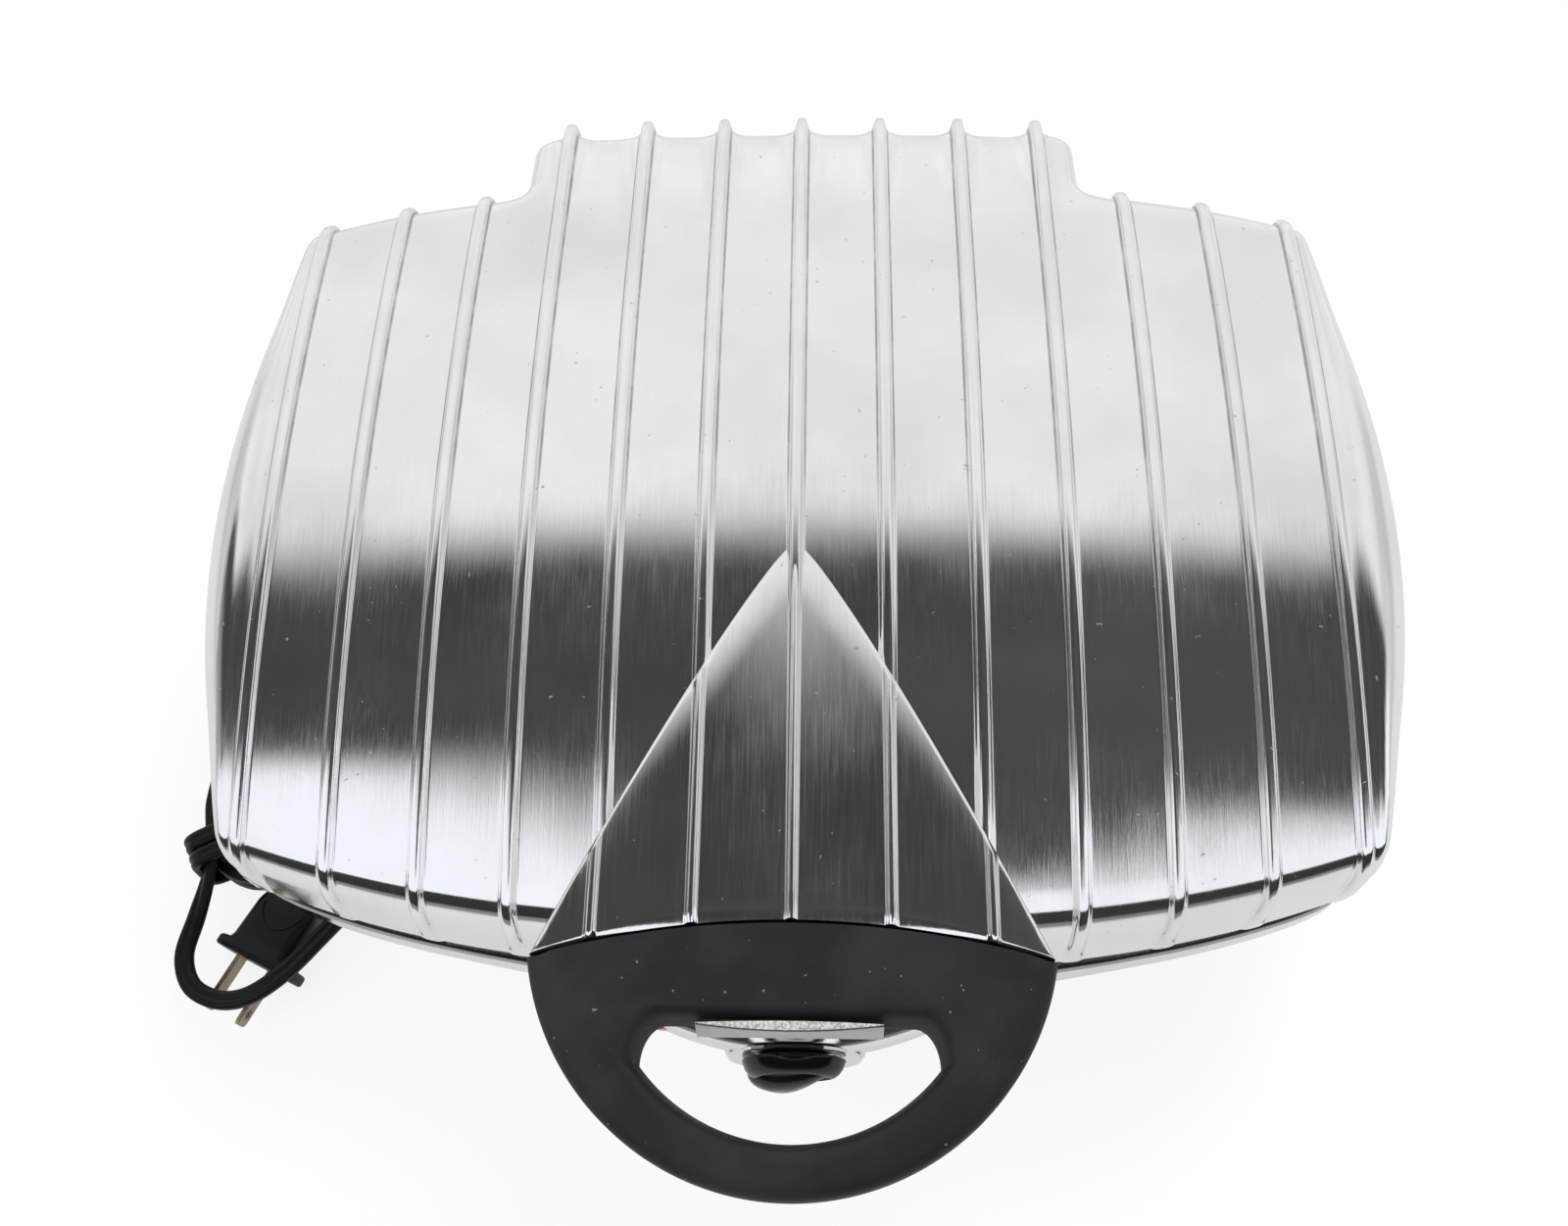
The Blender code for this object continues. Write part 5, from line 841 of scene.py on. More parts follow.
def make_blades():
    """Two flat blades with bevelled edges, a blunt nose and a hole."""
    half, tip, root = BLADE_HEIGHT / 2, BLADE_LENGTH, -0.004
    nose, edge, hole_radius, hole_depth = 0.0013, 0.00022, 0.0015, 0.0045
    upper = [(tip, half - nose), (tip - nose * 0.3, half - nose * 0.35), (tip - nose, half), (root, half)]
    outline = [(along, -up) for along, up in reversed(upper)] + upper
    face = BLADE_SHEET / 2
    made = []
    for name, node, side in (("blade_left", "plug_blade_left", 1), ("blade_right", "plug_blade_right", -1)):
        middle = side * BLADE_SPACING / 2
        rings = []
        for across, inset in ((-face, edge), (-face + edge, 0), (face - edge, 0), (face, edge)):
            rings.append([plug_point(along - inset * (along > 0), middle + across, up * (1 - inset / half))
                          for along, up in outline])
        blade = loft(name, rings, MATERIALS["blade_metal"], 30)
        hole = turned("hole", [(hole_radius, -0.002), (hole_radius, 0.002)],
                      plug_point(tip - hole_depth, middle, 0), plug_frame()[1], MATERIALS["blade_metal"], 24)
        cut(blade, [hole])
        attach(blade, "base")
        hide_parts(node)
        made.append(blade)
    return made


# Outline functions

def front_edge(x):
    return FRONT_Y + FRONT_SWEEP * (abs(x) / FRONT_REACH) ** FRONT_POWER


def rear_edge(x):
    return REAR_Y - REAR_SWEEP * (abs(x) / REAR_REACH) ** REAR_POWER


def crease_edge(x):
    return CREASE_Y + CREASE_SWEEP * (abs(x) / FRONT_REACH) ** FRONT_POWER


def side_edge(y):
    return SIDE_X - (y - SIDE_CENTRE_Y) ** 2 / (2 * SIDE_RADIUS)


def soft_max(a, b, softness):
    return (a + b + math.sqrt((a - b) ** 2 + softness ** 2)) / 2


def chin_edge(x):
    return CHIN_Y + CHIN_RADIUS - math.sqrt(max(CHIN_RADIUS ** 2 - x ** 2, 0))


def recessed_rear(x):
    """Rear outline of the base, with its straight recess between the corners."""
    share = min(max((abs(x) - RECESS_HALF_WIDTH) / RECESS_SIDE, 0), 1)
    return RECESS_Y + (rear_edge(x) + BASE_PROUD / 2 - RECESS_Y) * share


def outline_ring(inset, chin_inset, rear_inset, count):
    """Outline of the base at one level, as points at even angles."""
    def outside(x, y):
        front = -soft_max(-(front_edge(x) + inset), -(chin_edge(x) + chin_inset), CHIN_SOFTNESS)
        side_gap = abs(x) - side_edge(y) + inset
        rear_gap = y - recessed_rear(x) + rear_inset
        return soft_max(soft_max(side_gap, front - y, CORNER_SOFTNESS), rear_gap, CORNER_SOFTNESS / 3) > 0

    return trace(outside, SIDE_X * 2, count)


# Lid

def lid_height(x, y):
    along = LID_LONG_RADIUS - math.sqrt(LID_LONG_RADIUS ** 2 - (y - LID_CREST_Y) ** 2)
    return GRILL_HEIGHT - RIB_HEIGHT - along - x ** 2 / (2 * LID_CROSS_RADIUS)


def rear_target(x):
    """Point of the rear outline that a column ends at, its outward direction and its rounding."""
    side = math.copysign(1, x)
    ax = abs(x)
    inner, outer = FAN_INNER, FAN_OUTER
    if ax <= inner:
        return Vector((x, HOOD_Y)), Vector((0, 1)), HOOD_ROUND
    if ax >= outer:
        return Vector((x, rear_edge(x))), Vector((0, 1)), REAR_ROUND
    hollow, nose = 0.0050, 0.0068
    base_y = rear_edge(HOOD_HALF_WIDTH + hollow)
    legs = [outer - HOOD_HALF_WIDTH - hollow, math.pi / 2 * hollow, HOOD_Y - nose - base_y - hollow,
            math.pi / 2 * nose, HOOD_HALF_WIDTH - nose - inner]
    at = (outer - ax) / (outer - inner) * sum(legs)
    round_share = ease(at / (legs[0] + legs[1]))
    rounding = REAR_ROUND + (HOOD_ROUND * 0.92 - REAR_ROUND) * round_share
    if at < legs[0]:
        point, out = Vector((outer - at, rear_edge(outer - at))), Vector((0, 1))
    elif at < legs[0] + legs[1]:
        angle = (at - legs[0]) / hollow
        out = Vector((math.sin(angle), math.cos(angle)))
        point = Vector((HOOD_HALF_WIDTH + hollow, base_y + hollow)) - out * hollow
    elif at < sum(legs[:3]):
        point = Vector((HOOD_HALF_WIDTH, base_y + hollow + at - legs[0] - legs[1]))
        out = Vector((1, 0))
    elif at < sum(legs[:4]):
        angle = (at - sum(legs[:3])) / nose
        out = Vector((math.cos(angle), math.sin(angle)))
        point = Vector((HOOD_HALF_WIDTH - nose, HOOD_Y - nose)) + out * nose
    else:
        point = Vector((HOOD_HALF_WIDTH - nose - (at - sum(legs[:4])), HOOD_Y))
        out = Vector((0, 1))
    return Vector((point.x * side, point.y)), Vector((out.x * side, out.y)), rounding


def lid_column(x):
    """Points of the bare lid skin at one x, from the front rim to the rear rim."""
    crease = crease_edge(x)
    corner = Vector((crease, lid_height(x, crease)))
    rim = Vector((front_edge(x), LID_RIM_Z))
    wall_top = corner + (rim - corner).normalized() * CREASE_DROP
    start = Vector((crease + CREASE_ROUND, lid_height(x, crease + CREASE_ROUND)))
    points = []
    for i in range(WALL_ROWS):
        p = rim.lerp(wall_top, i / WALL_ROWS)
        points.append(Vector((x, p.x, p.y)))
    for i in range(CREASE_ROWS):
        t = i / CREASE_ROWS
        p = wall_top * (1 - t) ** 2 + corner * 2 * t * (1 - t) + start * t ** 2
        points.append(Vector((x, p.x, p.y)))
    for i in range(TOP_ROWS):
        y = start.x + (FAN_Y - start.x) * i / TOP_ROWS
        points.append(Vector((x, y, lid_height(x, y))))
    point, out, rounding = rear_target(x)
    first = Vector((x, FAN_Y))
    last = point - out * rounding
    for i in range(FAN_ROWS):
        p = first.lerp(last, i / FAN_ROWS)
        points.append(Vector((p.x, p.y, lid_height(p.x, p.y))))
    low = lid_height(point.x, point.y) - lid_height(last.x, last.y)
    for i in range(ROUND_ROWS + 1):
        angle = math.pi / 2 * i / ROUND_ROWS
        p = last + out * rounding * math.sin(angle)
        z = lid_height(last.x, last.y) + low * math.sin(angle) - rounding * (1 - math.cos(angle))
        points.append(Vector((p.x, p.y, z)))
    top = points[-1].z
    for i in range(1, REAR_ROWS + 1):
        share = i / REAR_ROWS
        p = point + out * HOOD_DRAFT * share
        points.append(Vector((p.x, p.y, top + (LID_RIM_Z - top) * share)))
    return points


def rib_lift(distance, height, fade):
    """Height of the skin over the panel at a distance from the middle of a rib."""
    half = RIB_HALF * (1 + 0.5 * (1 - fade))
    core = max(1 - (distance / half) ** 4.0, 0) ** 1.8
    proud = min(max((height - RIB_HEIGHT) / (RIB_PROUD - RIB_HEIGHT), 0), 1)
    tail_share = 0.03 + 0.42 * proud
    tail = max(1 - max(distance - RIB_FLAT, 0) / RIB_TAIL, 0) ** 2.8
    return height * ((1 - tail_share) * core + tail_share * tail)


def rib_height(x, y):
    """Height of the rib beside a point of the top: the hood's ribs rise towards the rear."""
    rise = ease((y - FAN_Y - 0.012) / (HOOD_Y - HOOD_ROUND - FAN_Y - 0.012))
    return RIB_HEIGHT + (RIB_PROUD - RIB_HEIGHT) * rise * (abs(x) < HOOD_HALF_WIDTH)


def rib_distance(x):
    nearest = max(min(round(x / RIB_PITCH), RIBS_EACH_SIDE), -RIBS_EACH_SIDE)
    return abs(x - nearest * RIB_PITCH)


def lift_column(points, distance=None, weight=1.0):
    """Column with its points moved out along the section's normal by the rib there."""
    top = WALL_ROWS + CREASE_ROWS + TOP_ROWS
    wall = top + FAN_ROWS + ROUND_ROWS
    lifted = []
    for i, point in enumerate(points):
        before = points[max(i - 1, 0)]
        after = points[min(i + 1, len(points) - 1)]
        along = Vector((0, after.y - before.y, after.z - before.z)).normalized()
        normal = Vector((0, -along.z, along.y))
        fade = 0.22 + 0.78 * ease(i / WALL_ROWS) ** 0.9 if i < WALL_ROWS else 1.0
        height = rib_height(point.x, min(point.y, HOOD_Y - HOOD_ROUND)) * fade
        if i > wall - ROUND_ROWS / 2 and height < RIB_HEIGHT * 1.01:
            height *= 1 - 0.8 * ease((i - wall + ROUND_ROWS / 2) / (REAR_ROWS + ROUND_ROWS / 2))
        moved = point + normal * rib_lift(rib_distance(point.x) if distance is None else distance,
                                          height, fade) * weight
        if i == 0 or i == len(points) - 1:
            moved.z = point.z
        lifted.append(moved)
    return lifted


def lid_stations():
    """Values of x for the columns, close together on the ribs and where the hood's sides turn."""
    offsets = [0.00025 * i for i in range(14)] + [0.0038, 0.0045, 0.0054, 0.0064, 0.0076, 0.0090]
    stations = []
    for k in range(-RIBS_EACH_SIDE, RIBS_EACH_SIDE + 1):
        middle = k * RIB_PITCH
        near = [middle + sign * offset for offset in offsets for sign in (-1, 1)]
        stations += [round(x, 6) for x in near if abs(x) <= EDGE_X]
        stations += [round(middle + offset, 6) for offset in (0.0110, -0.0110, RIB_PITCH / 2)]
    for i in range(37):
        x = FAN_INNER + (FAN_OUTER - FAN_INNER) * i / 36
        stations += [round(x, 6), -round(x, 6)]
    kept = [-EDGE_X]
    least = 0.00015
    for x in sorted(x for x in stations if abs(x) < EDGE_X - 0.0002) + [EDGE_X]:
        if x - kept[-1] > least or abs(x) in (FAN_INNER, FAN_OUTER):
            if x - kept[-1] <= least:
                kept.pop()
            kept.append(x)
    return kept


def flank_targets(section):
    """Where each row of the outermost column meets the side of the outline."""
    corner_front = front_edge(EDGE_X) + CORNER_SOFTNESS / 2
    corner_rear = rear_edge(EDGE_X) - CORNER_SOFTNESS / 2
    marks = marks_along(section)
    wall, top = WALL_ROWS, WALL_ROWS + CREASE_ROWS
    rounding = top + TOP_ROWS + FAN_ROWS
    keys = [marks[i] for i in (0, wall // 2, wall, wall + CREASE_ROWS // 2, top)]
    values = [corner_front + CORNER_RUN * s for s in (0.0, 0.22, 0.42, 0.66, 1.0)]
    for i in range(top, rounding, 4):
        if values[4] + 0.010 < section[i].y < corner_rear - CORNER_RUN - 0.014:
            keys.append(marks[i])
            values.append(section[i].y)
    keys += [marks[i] for i in (rounding, rounding + ROUND_ROWS // 2, rounding + ROUND_ROWS, -1)]
    values += [corner_rear - CORNER_RUN * s for s in (1.0, 0.6, 0.3, 0.0)]
    curve = smooth_curve(keys, values)
    return [curve(mark) for mark in marks]


def flank(section, sign):
    """Columns from beside the outermost rib down to the side of the outline."""
    targets = flank_targets(section)
    steps = 40
    columns = []
    for step in range(1, steps + 1):
        angle = math.pi / 2 * step / steps
        across = math.sin(angle) ** (2 / FLANK_POWER)
        upright = max(math.cos(angle), 0) ** (2 / FLANK_POWER) if step < steps else 0.0
        column = []
        for point, target in zip(section, targets):
            reach = side_edge(target) - EDGE_X
            column.append(Vector((sign * (EDGE_X + reach * across),
                                  point.y + (target - point.y) * (1 - math.cos(angle)),
                                  LID_RIM_Z + (point.z - LID_RIM_Z) * upright)))
        distance = sum(abs(p.x) for p in column) / len(column) - RIBS_EACH_SIDE * RIB_PITCH
        if distance < RIB_TAIL:
            column = lift_column(column, distance, math.cos(angle))
        columns.append(column)
    return columns


def fan_patch(loop, vertices):
    """Triangles over the top between a closed loop of vertices, beside the hood's side."""
    low_x = min(vertices[i].x for i in loop)
    low_y = min(vertices[i].y for i in loop)
    flat = [Vector((vertices[i].x, vertices[i].y)) for i in loop]
    count = len(flat)
    step = 0.0013
    extra = []
    for row in range(1, 50):
        for column in range(0, 20):
            p = Vector((low_x + step * (column + row % 2 / 2), low_y + step * row))
            inside = False
            near = 1.0
            for a, b in zip(flat, flat[1:] + flat[:1]):
                if (a.y > p.y) != (b.y > p.y) and p.x < a.x + (p.y - a.y) / (b.y - a.y) * (b.x - a.x):
                    inside = not inside
                run = b - a
                share = min(max((p - a).dot(run) / run.length_squared, 0), 1)
                near = min(near, (a + run * share - p).length)
            if inside and near > step * 0.55:
                extra.append(p)
    result = delaunay_2d_cdt(flat + extra, [], [list(range(count))], 1, 1e-7)
    numbers = list(loop)
    for p in extra:
        lift = rib_lift(rib_distance(p.x), rib_height(p.x, p.y), 1.0)
        numbers.append(len(vertices))
        vertices.append(Vector((p.x, p.y, lid_height(p.x, p.y) + lift)))
    sources = [numbers[origins[0]] for origins in result[3]]
    return [tuple(sources[i] for i in face) for face in result[2]]


def lid_skin():
    """The cast skin of the lid with its ribs and hood, thickened inwards."""
    stations = lid_stations()
    left = list(reversed(flank(lid_column(-EDGE_X), -1)))
    columns = left + [lift_column(lid_column(x)) for x in stations] + flank(lid_column(EDGE_X), 1)
    vertices = []
    numbers = []
    for column in columns:
        numbers.append(list(range(len(vertices), len(vertices) + len(column))))
        vertices += column
    first = WALL_ROWS + CREASE_ROWS + TOP_ROWS
    last = first + FAN_ROWS
    faces = []
    strips = {-1: [], 1: []}
    for k, (here, there) in enumerate(zip(numbers, numbers[1:])):
        faces += grid_faces([here[:first + 1], there[:first + 1]]) + grid_faces([here[last:], there[last:]])
        index = k - len(left)
        middle = (stations[index] + stations[index + 1]) / 2 if 0 <= index < len(stations) - 1 else 1.0
        if FAN_INNER < abs(middle) < FAN_OUTER:
            strips[1 if middle > 0 else -1].append((here, there))
        else:
            faces += grid_faces([here[first:last + 1], there[first:last + 1]])
    for strip in strips.values():
        fan = [here for here, there in strip] + [strip[-1][1]]
        loop = ([column[first] for column in fan] + fan[-1][first + 1:last]
                + [column[last] for column in reversed(fan)] + list(reversed(fan[0][first + 1:last])))
        faces += fan_patch(loop, vertices)
    skin = mesh_object("lid_casting", vertices, faces, MATERIALS["polished_lid"], 60)
    work = bmesh.new()
    work.from_mesh(skin.data)
    on_top = Vector((RIB_PITCH / 2, 0.09, 0.137))
    middle = min(work.faces, key=lambda f: (f.calc_center_median() - on_top).length)
    if middle.normal.z < 0:
        bmesh.ops.reverse_faces(work, faces=work.faces)
    work.to_mesh(skin.data)
    work.free()
    solid = skin.modifiers.new("wall", "SOLIDIFY")
    solid.thickness = LID_WALL
    solid.offset = -1.0
    apply_modifiers(skin)
    smooth(skin.data, 60)
    return skin


def prow_plane(y):
    slope = (PROW_APEX_Z - PROW_FRONT_Z) / (PROW_APEX_Y - PROW_FRONT_Y)
    return PROW_FRONT_Z + slope * (y - PROW_FRONT_Y)


def joint_arc(x):
    """Arc in plan where the prow meets the handle."""
    return PROW_FRONT_Y - JOINT_RADIUS + math.sqrt(JOINT_RADIUS ** 2 - x ** 2)


def prow_rear(x):
    run = PROW_APEX_Y - joint_arc(PROW_HALF_WIDTH)
    share = (abs(x) / PROW_HALF_WIDTH) ** (1 / PROW_FULLNESS)
    return max(PROW_APEX_Y - share * run, joint_arc(x) + 0.0002)


def prow_stations():
    """Values of x for the prow's columns, close together on its ribs and at its ends."""
    offsets = [0.0002 * i for i in range(11)] + [0.0026, 0.0034, 0.0044, 0.0058, 0.0075, 0.0105, 0.013]
    inner = {round(k * RIB_PITCH + sign * offset, 6)
             for k in range(-2, 3) for offset in offsets for sign in (-1, 1)}
    ends = [PROW_HALF_WIDTH - 0.0008, PROW_HALF_WIDTH]
    inner = sorted(x for x in inner if abs(x) < PROW_HALF_WIDTH - 0.0015)
    return [-x for x in reversed(ends)] + inner + ends


def rounded_drop(gap, radius):
    """How far a surface is below its full height beside a rounded edge."""
    return radius - math.sqrt(max(radius ** 2 - (radius - gap) ** 2, 0)) if gap < radius else 0.0


def make_prow():
    """Raised triangular field in front of the lid's ribs, from its apex to the joint with the handle."""
    stations = prow_stations()
    rows = 46
    vertices = []
    tops, lows = [], []
    for x in stations:
        rear, front = prow_rear(x), joint_arc(x)
        distance = abs(x - round(x / RIB_PITCH) * RIB_PITCH)
        rib = max(1 - (distance / 0.0018) ** 2.6, 0) ** 1.8 * 0.95
        rib += max(1 - (distance / 0.005) ** 2, 0) ** 2 * 0.05
        top, low = [], []
        for i in range(rows + 1):
            y = front + (rear - front) * (1 - (1 - i / rows) ** 1.6)
            side = (rear - y) * 0.505
            z = prow_plane(y) + PROW_RIB_HEIGHT * rib * ease(side / 0.0016)
            z -= 0.0004 * max(1 - side / 0.009, 0) ** 2
            z -= PROW_SAG * 4 * (y - front) * (rear - y) / PROW_RUN ** 2
            z -= rounded_drop(side, 0.0009) + rounded_drop(y - front, 0.0006)
            under = lid_height(x, y) - 0.0030 if y > crease_edge(x) - 0.0005 else PROW_BOTTOM_Z
            top.append(len(vertices))
            low.append(len(vertices) + 1)
            vertices += [(x, y, z), (x, y, min(under, z - 0.0002))]
        tops.append(top)
        lows.append(low)
    faces = grid_faces(tops) + [tuple(reversed(f)) for f in grid_faces(lows)]
    for here, there, low_here, low_there in zip(tops, tops[1:], lows, lows[1:]):
        faces.append((here[0], there[0], low_there[0], low_here[0]))
        faces.append((here[-1], low_here[-1], low_there[-1], there[-1]))
    for edge_top, edge_low in ((tops[0], lows[0]), (tops[-1], lows[-1])):
        for i in range(rows):
            faces.append((edge_top[i], edge_top[i + 1], edge_low[i + 1], edge_low[i]))
    return mesh_object("lid_prow", vertices, faces, CAST, 50)


def make_lid():
    """Skin, prow, the two hinge lugs and the four posts of the liner, as one casting."""
    liner_level = LID_RIM_Z + LINER_RISE + LINER_SHEET + SEAT_GAP
    lug_half, foot, top = 0.0025, 0.0055, 0.0058
    extras = []
    for sign in (-1, 1):
        lug_x = sign * (GUIDE_X - GUIDE_HALF_WIDTH - RUN_GAP)
        arc = [math.pi + math.pi * i / 16 for i in range(17)]
        outline = [(HINGE_Y - LUG_RADIUS, LUG_TOP_Z)]
        outline += [(HINGE_Y + LUG_RADIUS * math.cos(a), HINGE_Z + LUG_RADIUS * math.sin(a)) for a in arc]
        outline.append((HINGE_Y + LUG_RADIUS, LUG_TOP_Z))
        rings = [[(x, y, z) for y, z in outline] for x in (lug_x - lug_half, lug_x + lug_half)]
        lug = loft("lug", rings, CAST)
        bore = turned("bore", [(PIN_BORE, -0.01), (PIN_BORE, 0.01)], (lug_x, HINGE_Y, HINGE_Z), (1, 0, 0),
                      CAST, 32)
        extras.append(cut(lug, [bore]))
        for y in LID_POST_YS:
            high = lid_height(LID_POST_X + top, y - top) - LID_WALL / 2
            stud = post(sign * LID_POST_X, y, liner_level, (foot, top), high - liner_level, 28)
            bore = turned("bore", [(SCREW_BORE, -0.002), (SCREW_BORE, 0.009)],
                          (sign * LID_POST_X, y, liner_level), (0, 0, 1), CAST, 20)
            extras.append(cut(stud, [bore]))
    lid = join(lid_skin(), [make_prow()] + extras)
    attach(lid, "lid")
    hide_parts("lid_shell")


# Handle, nameplate and knob

def handle_outline(inset):
    """Half-moon in plan: a round front, and a rear along the joint with the prow."""
    end_y = joint_arc(PROW_HALF_WIDTH + 0.0008) - SEAT_GAP
    radius = HANDLE_RADIUS - inset
    reach = math.asin(min((end_y - inset * 0.25 - HANDLE_CENTRE_Y) / radius, 0))
    steps, rear_steps = 110, 48
    points = []
    for i in range(steps + 1):
        angle = math.pi - reach + (math.pi + 2 * reach) * i / steps
        points.append((radius * math.cos(angle), HANDLE_CENTRE_Y + radius * math.sin(angle)))
    last_x = points[-1][0]
    for i in range(1, rear_steps):
        x = last_x - 2 * last_x * i / rear_steps
        points.append((x, joint_arc(x) - SEAT_GAP - min(inset, 0.0008)))
    return points


def grip_outline(outset):
    """D-shaped opening in plan: a round front and a straight rear between rounded corners."""
    half = GRIP_HALF_WIDTH + outset
    rear = GRIP_REAR_Y + outset
    front = GRIP_FRONT_Y - outset
    corner_y = rear - GRIP_CORNER_DEPTH - outset
    sag = corner_y - front
    radius = (half ** 2 + sag ** 2) / (2 * sag)
    spread = math.asin(half / radius)
    steps, corner_steps = 64, 14
    points = []
    for i in range(steps + 1):
        angle = -math.pi / 2 - spread + 2 * spread * i / steps
        points.append((radius * math.cos(angle), front + radius + radius * math.sin(angle)))
    quarter = [math.pi / 2 * (i + 1) / corner_steps for i in range(corner_steps)]
    for sign, turns in ((1, quarter), (-1, reversed(quarter))):
        for turn in turns:
            points.append((sign * (half - GRIP_CORNER * (1 - math.cos(turn))),
                           corner_y + (GRIP_CORNER_DEPTH + outset) * math.sin(turn)))
    return points


def build_handle():
    """Half-moon with rounded edges, the D-shaped opening and two screw holes in its rear."""
    low, high = HANDLE_TOP_Z - HANDLE_THICKNESS, HANDLE_TOP_Z
    wide, tall, steps = 0.0070, 0.0048, 9
    arc = [math.pi / 2 * i / steps for i in range(steps + 1)]
    swell = [(handle_outline(wide * (1 - math.sin(a))), tall * (1 - math.cos(a))) for a in arc]
    rings = [[(x, y, low + rise) for x, y in outline] for outline, rise in swell]
    rings += [[(x, y, high - rise) for x, y in outline] for outline, rise in reversed(swell)]
    phenolic_black = MATERIALS["black_phenolic"]
    body = loft("grip_handle", rings, phenolic_black, 35)
    levels = ((low - 0.002, 0.0060), (low, 0.0026), (low + 0.0008, 0.0012), (low + 0.0020, 0.0003),
              (low + 0.0036, 0.0), (high - 0.0080, 0.0005), (high - 0.0045, 0.0011), (high - 0.0020, 0.0018),
              (high - 0.0007, 0.0026), (high, 0.0038), (high + 0.002, 0.0080))
    cutters = [loft("grip_cutter", [[(x, y, z) for x, y in grip_outline(outset)] for z, outset in levels],
                    phenolic_black)]
    for x in (-HANDLE_SCREW_X, HANDLE_SCREW_X):
        start = (x, joint_arc(x) + 0.004, HANDLE_TOP_Z - 0.0097)
        cutters.append(turned("bore", [(0.0025, 0), (0.0025, 0.0143)], start, (0, -1, 0), phenolic_black, 20))
    cut(body, cutters)
    smooth(body.data, 35)
    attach(body, "lid")
    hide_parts("handle")


def make_nameplate():
    """Bare bar on the rear wall of the opening; its speckled top edge laps back in a shallow arch."""
    half_width, height, steps = 0.0236, 0.0080, 64
    back = GRIP_REAR_Y - SEAT_GAP
    front = back - 0.0023
    rear_top = HANDLE_TOP_Z - 0.0005
    bottom = HANDLE_TOP_Z - 0.0012 - height
    rings = []
    for i in range(steps + 1):
        x = -half_width + 2 * half_width * i / steps
        bow = 1 - (x / half_width) ** 2
        rear = back - 0.0004 + 0.0006 * bow
        lip = rear - 0.0002 - 0.0020 * bow
        top = rear_top - 0.0001 - 0.0006 * bow
        section = ((min(rear, back), top - 0.0022), (rear, rear_top - 0.0004), (rear - 0.0001, rear_top),
                   (lip, top), (lip - 0.0003, top - 0.0003), (lip - 0.0004, top - 0.0006),
                   (front - 0.0003, bottom + 0.0006), (front, bottom), (min(rear, back), bottom))
        rings.append([(x, y, z) for y, z in section])
    plate = loft("name_bar", rings, MATERIALS["silver_plate"], 30)
    plate.data.materials.append(MATERIALS["speckled_edge"])
    for face in plate.data.polygons:
        if face.normal.z > 0.75:
            face.material_index = 1
    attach(plate, "lid")
    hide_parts("nameplate")


def make_knob():
    """Gloss black knob: a tapered disc, flattened on one side, and a grip that thins to the pointer."""
    back = DIAL_Y - SEAT_GAP - DIAL_SHEET - RUN_GAP
    cos_turn, sin_turn = math.cos(GRIP_TURN), math.sin(GRIP_TURN)
    radius, deep = KNOB_RADIUS * 0.955, KNOB_DEPTH * 0.62
    profile = [(radius * 1.02, 0), (radius * 1.03, 0.0004)]
    for wide, out in ((1.01, 0.20), (0.965, 0.50), (0.895, 0.76), (0.82, 0.91), (0.775, 0.97), (0.755, 0.985),
                      (0.735, 0.965), (0.69, 0.90), (0.55, 0.84), (0.2, 0.80)):
        profile.append((radius * wide, deep * out))
    skirt = turned("knob_body", profile, (0, back, KNOB_Z), (0, -1, 0), MATERIALS["gloss_black"], 72, 50)
    for vertex in skirt.data.vertices:
        x, z = vertex.co.x, vertex.co.z - KNOB_Z
        along, across = x * sin_turn + z * cos_turn, x * cos_turn - z * sin_turn
        run = 0.17 * math.hypot(x, z)
        past = across - 2 * run
        if past > 0:
            across = 2 * run + run * (1 - math.exp(-past / run))
            vertex.co.x = along * sin_turn + across * cos_turn
            vertex.co.z = KNOB_Z + along * cos_turn - across * sin_turn
    levels, steps = 16, 64
    reach, foot = KNOB_RADIUS * 0.97, KNOB_SKIRT * 0.5
    rings = []
    for i in range(levels + 1):
        t = i / levels
        shrink = (1 - t ** 2.6) ** 0.5 if t < 1 else 0.0
        ring = []
        for k in range(steps):
            turn = 2 * math.pi * k / steps
            c, q = math.cos(turn), math.sin(turn)
            along = -reach * 0.10 + reach * c * (1.02 if c > 0 else 0.90) * (0.10 + 0.90 * shrink)
            lean = (along / reach + 1) / 2
            width = 0.0104 - 0.0072 * ease(lean)
            across = width * math.copysign(abs(q) ** 0.85, q) * (0.06 + 0.94 * shrink)
            rise = KNOB_DEPTH * (1.0 - 0.30 * ease((lean - 0.25) / 0.8))
            ring.append((along * sin_turn + across * cos_turn, back - (foot + (rise - foot) * t),
                         KNOB_Z + along * cos_turn - across * sin_turn))
        rings.append(ring)
    body = join(skirt, [loft("knob_grip", rings, MATERIALS["gloss_black"], 60)])
    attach(body, "knob")
    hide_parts("knob")


# Base

SIDE_CURVE = smooth_curve(BASE_LEVEL_SHARES, BASE_INSET_SHARES)
CHIN_CURVE = smooth_curve(BASE_LEVEL_SHARES, CHIN_INSET_SHARES)


def base_ring(share, extra, z):
    """Ring of the base shell at a share of its height, moved inwards by extra."""
    inset = SIDE_CURVE(share)
    return [(x, y, z) for x, y in outline_ring(BASE_UNDERCUT * inset - BASE_PROUD + extra,
                                               CHIN_UNDERCUT * CHIN_CURVE(share) + extra,
                                               REAR_UNDERCUT * inset + extra, BASE_STEPS)]


def plate_ring(z):
    """Opening in the deck, as points at the same angles as the outline's."""
    def outside(x, y):
        ox = max(x - (OPENING_HALF_WIDTH - OPENING_CORNER), OPENING_CORNER - OPENING_HALF_WIDTH - x, 0)
        oy = max(y - (OPENING_REAR_Y - OPENING_CORNER), OPENING_FRONT_Y + OPENING_CORNER - y, 0)
        return math.hypot(ox, oy) > OPENING_CORNER

    return [(x, y, z) for x, y in trace(outside, 0.3, BASE_STEPS)]


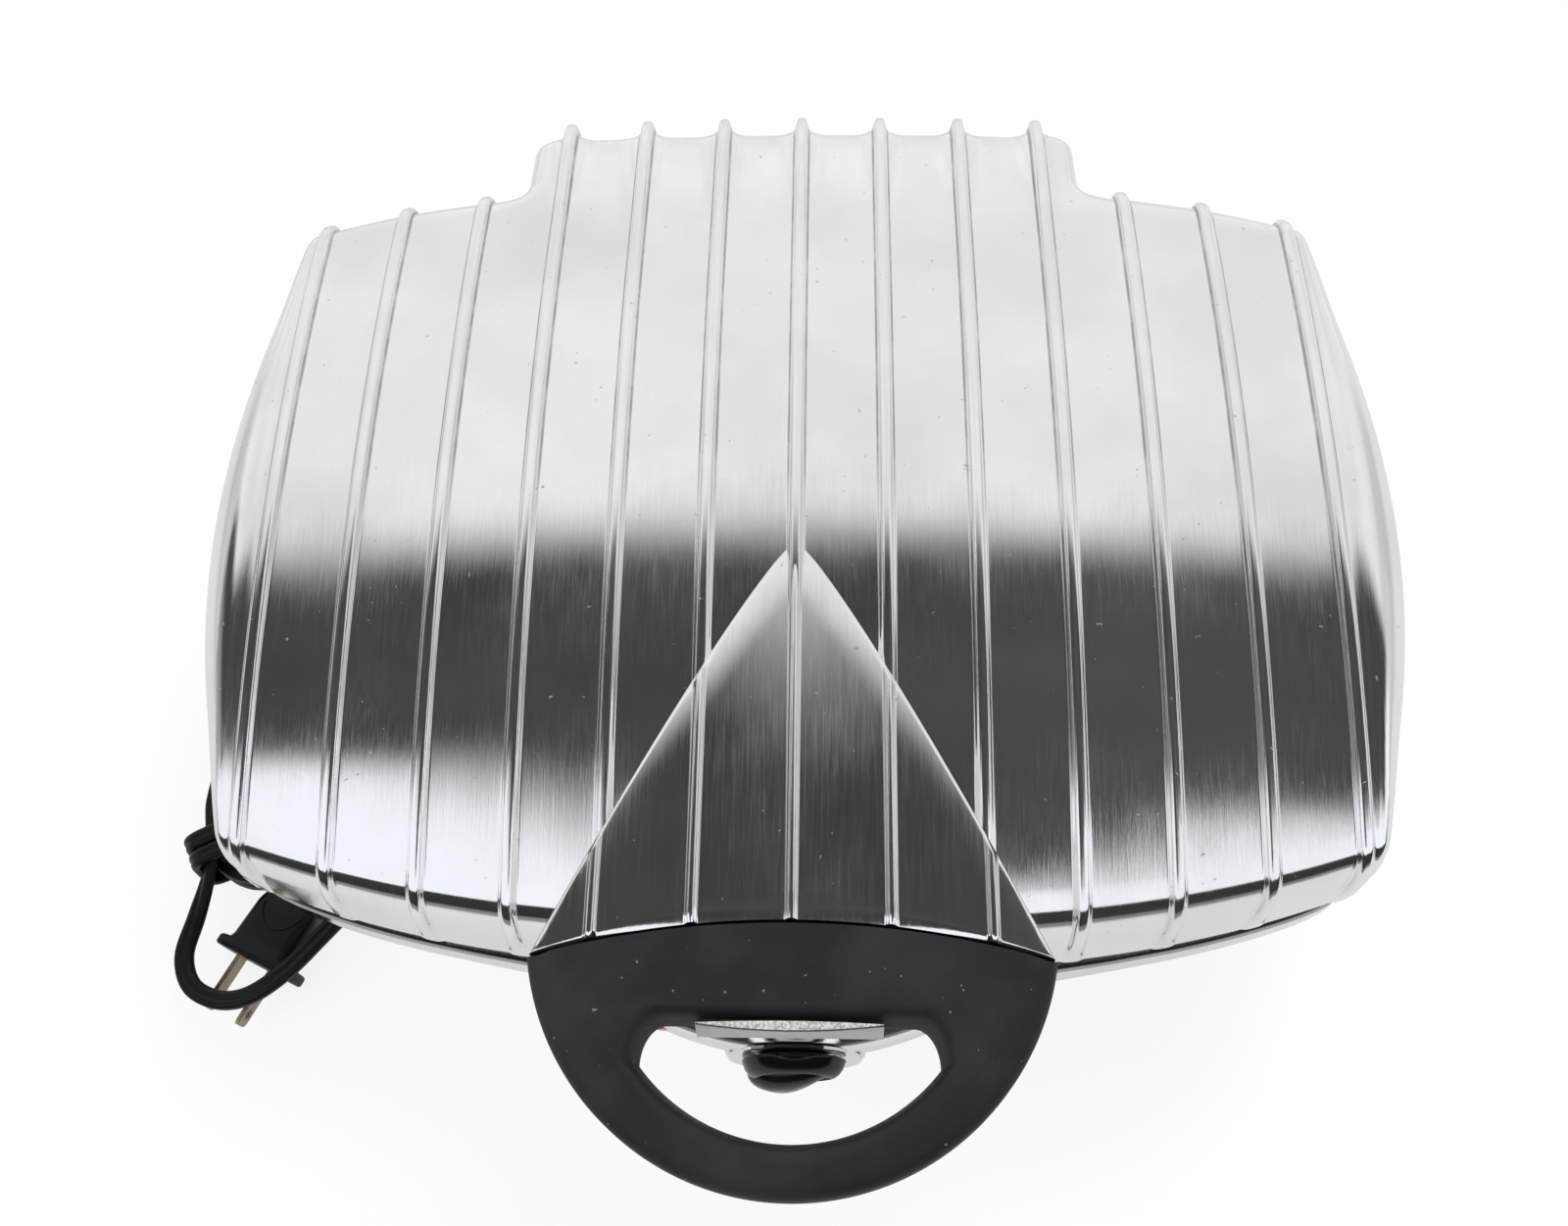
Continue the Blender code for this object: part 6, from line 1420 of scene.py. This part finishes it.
def make_base():
    """Shell with rolled rim and deck, the bosses of dial and cord gland, and the bottom's posts."""
    height = BASE_RIM_Z - FOOT_HEIGHT
    deck_z = BASE_RIM_Z - BASE_DECK
    outer = [base_ring(share, 0.0, FOOT_HEIGHT + height * share)
             for share in (0.0, 0.02, 0.05, 0.09, 0.13, 0.18, 0.24, 0.30, 0.36, 0.43, 0.50, 0.58, 0.66, 0.74,
                           0.80, 0.84, 0.88, 0.92, 0.95, 0.975, 0.99, 1.0)]
    lip = [(x * 0.9985, (y - SIDE_CENTRE_Y) * 0.9985 + SIDE_CENTRE_Y, BASE_RIM_Z) for x, y, _ in outer[-1]]
    inner = [base_ring(share, BASE_WALL, FOOT_HEIGHT + height * share)
             for share in (0.92, 0.80, 0.66, 0.50, 0.36, 0.24, 0.13, 0.05, 0.0)]
    deck = [plate_ring(BASE_RIM_Z), plate_ring(deck_z), base_ring(0.93, BASE_WALL, deck_z)]
    base = loft("base_casting", outer + [lip] + deck + inner, MATERIALS["polished_base"], 40, "joined")
    cutters = [box(*TRAY_SLOT)]
    half, front, rear, low, high = LEG_SLOT
    for x in (-GUIDE_X, GUIDE_X):
        cutters.append(box((x - half, front, low), (x + half, rear, high)))
    cut(base, cutters)
    r = DIAL_BOSS_RADIUS
    boss = turned("boss", [(r * 0.4, 0.0063), (r, 0.0063), (r, 0.0004), (r * 0.985, 0.0), (r * 0.4, 0.0)],
                  (0, DIAL_Y, KNOB_Z), (0, 1, 0), CAST, 96)
    gland_boss = turned("boss", [(0.0102, -0.0050), (0.0105, -0.0006), (0.0099, 0.0), (0.0072, 0.0)],
                        (GLAND_X, gland_seat(), GLAND_Z), (0, 1, 0), CAST, 48)
    low = FOOT_HEIGHT + BOTTOM_SHEET + SEAT_GAP * 2
    posts = [post(x, y, low, (BASE_POST_RADIUS,) * 2, deck_z - low, 24)
             for x in (-BASE_POST_X, BASE_POST_X) for y in BASE_POST_YS]
    join(base, [boss, gland_boss] + posts)
    smooth(base.data, 40)
    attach(base, "base")
    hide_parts("base_shell")


def make_gland():
    """Tapered strain relief with rings, from the boss on the rear wall to the cord."""
    profile = [(0.0068, -0.008), (0.0068, 0.0), (0.0088, 0.0), (0.0092, 0.0004), (0.0092, 0.0026),
               (0.0086, 0.0030), (0.0069, 0.0031)]
    rings = 7
    for k in range(rings):
        at = 0.0040 + 0.019 * k / rings
        radius = 0.0068 - 0.0022 * (k / rings)
        profile += [(radius, at), (radius * 0.985, at + 0.0013), (radius * 0.84, at + 0.0016),
                    (radius * 0.84, at + 0.0023)]
    profile += [(0.0046, 0.0226), (0.0042, 0.0230)]
    gland = turned("strain_relief", profile, (GLAND_X, gland_seat() + SEAT_GAP, GLAND_Z), (0, 1, 0),
                   MATERIALS["rubber"], 40)
    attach(gland, "base")
    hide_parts("cord_gland")


def dress_nodes():
    for name, node in NODES.items():
        node.data.materials.clear()
        node.data.materials.append(MATERIALS["dial_face" if name == "dial_plate" else SLOT_OF[name]])


make_camera()
make_world()
make_floor()
area_light("key", (0.55, 0.75, 1.25), 11)
area_light("fill", (-0.9, -0.5, 1.1), 5)
dress_nodes()
cord, route, cord_length = make_cord()
wrap = make_wrap()
plug = make_plug()
blades = make_blades()
tuple(route[0])
[tuple(p) for p in route]
[wrap] + plug + blades
make_lid()
build_handle()
make_nameplate()
make_knob()
make_base()
make_gland()

bpy.context.scene.view_settings.view_transform = "Standard"
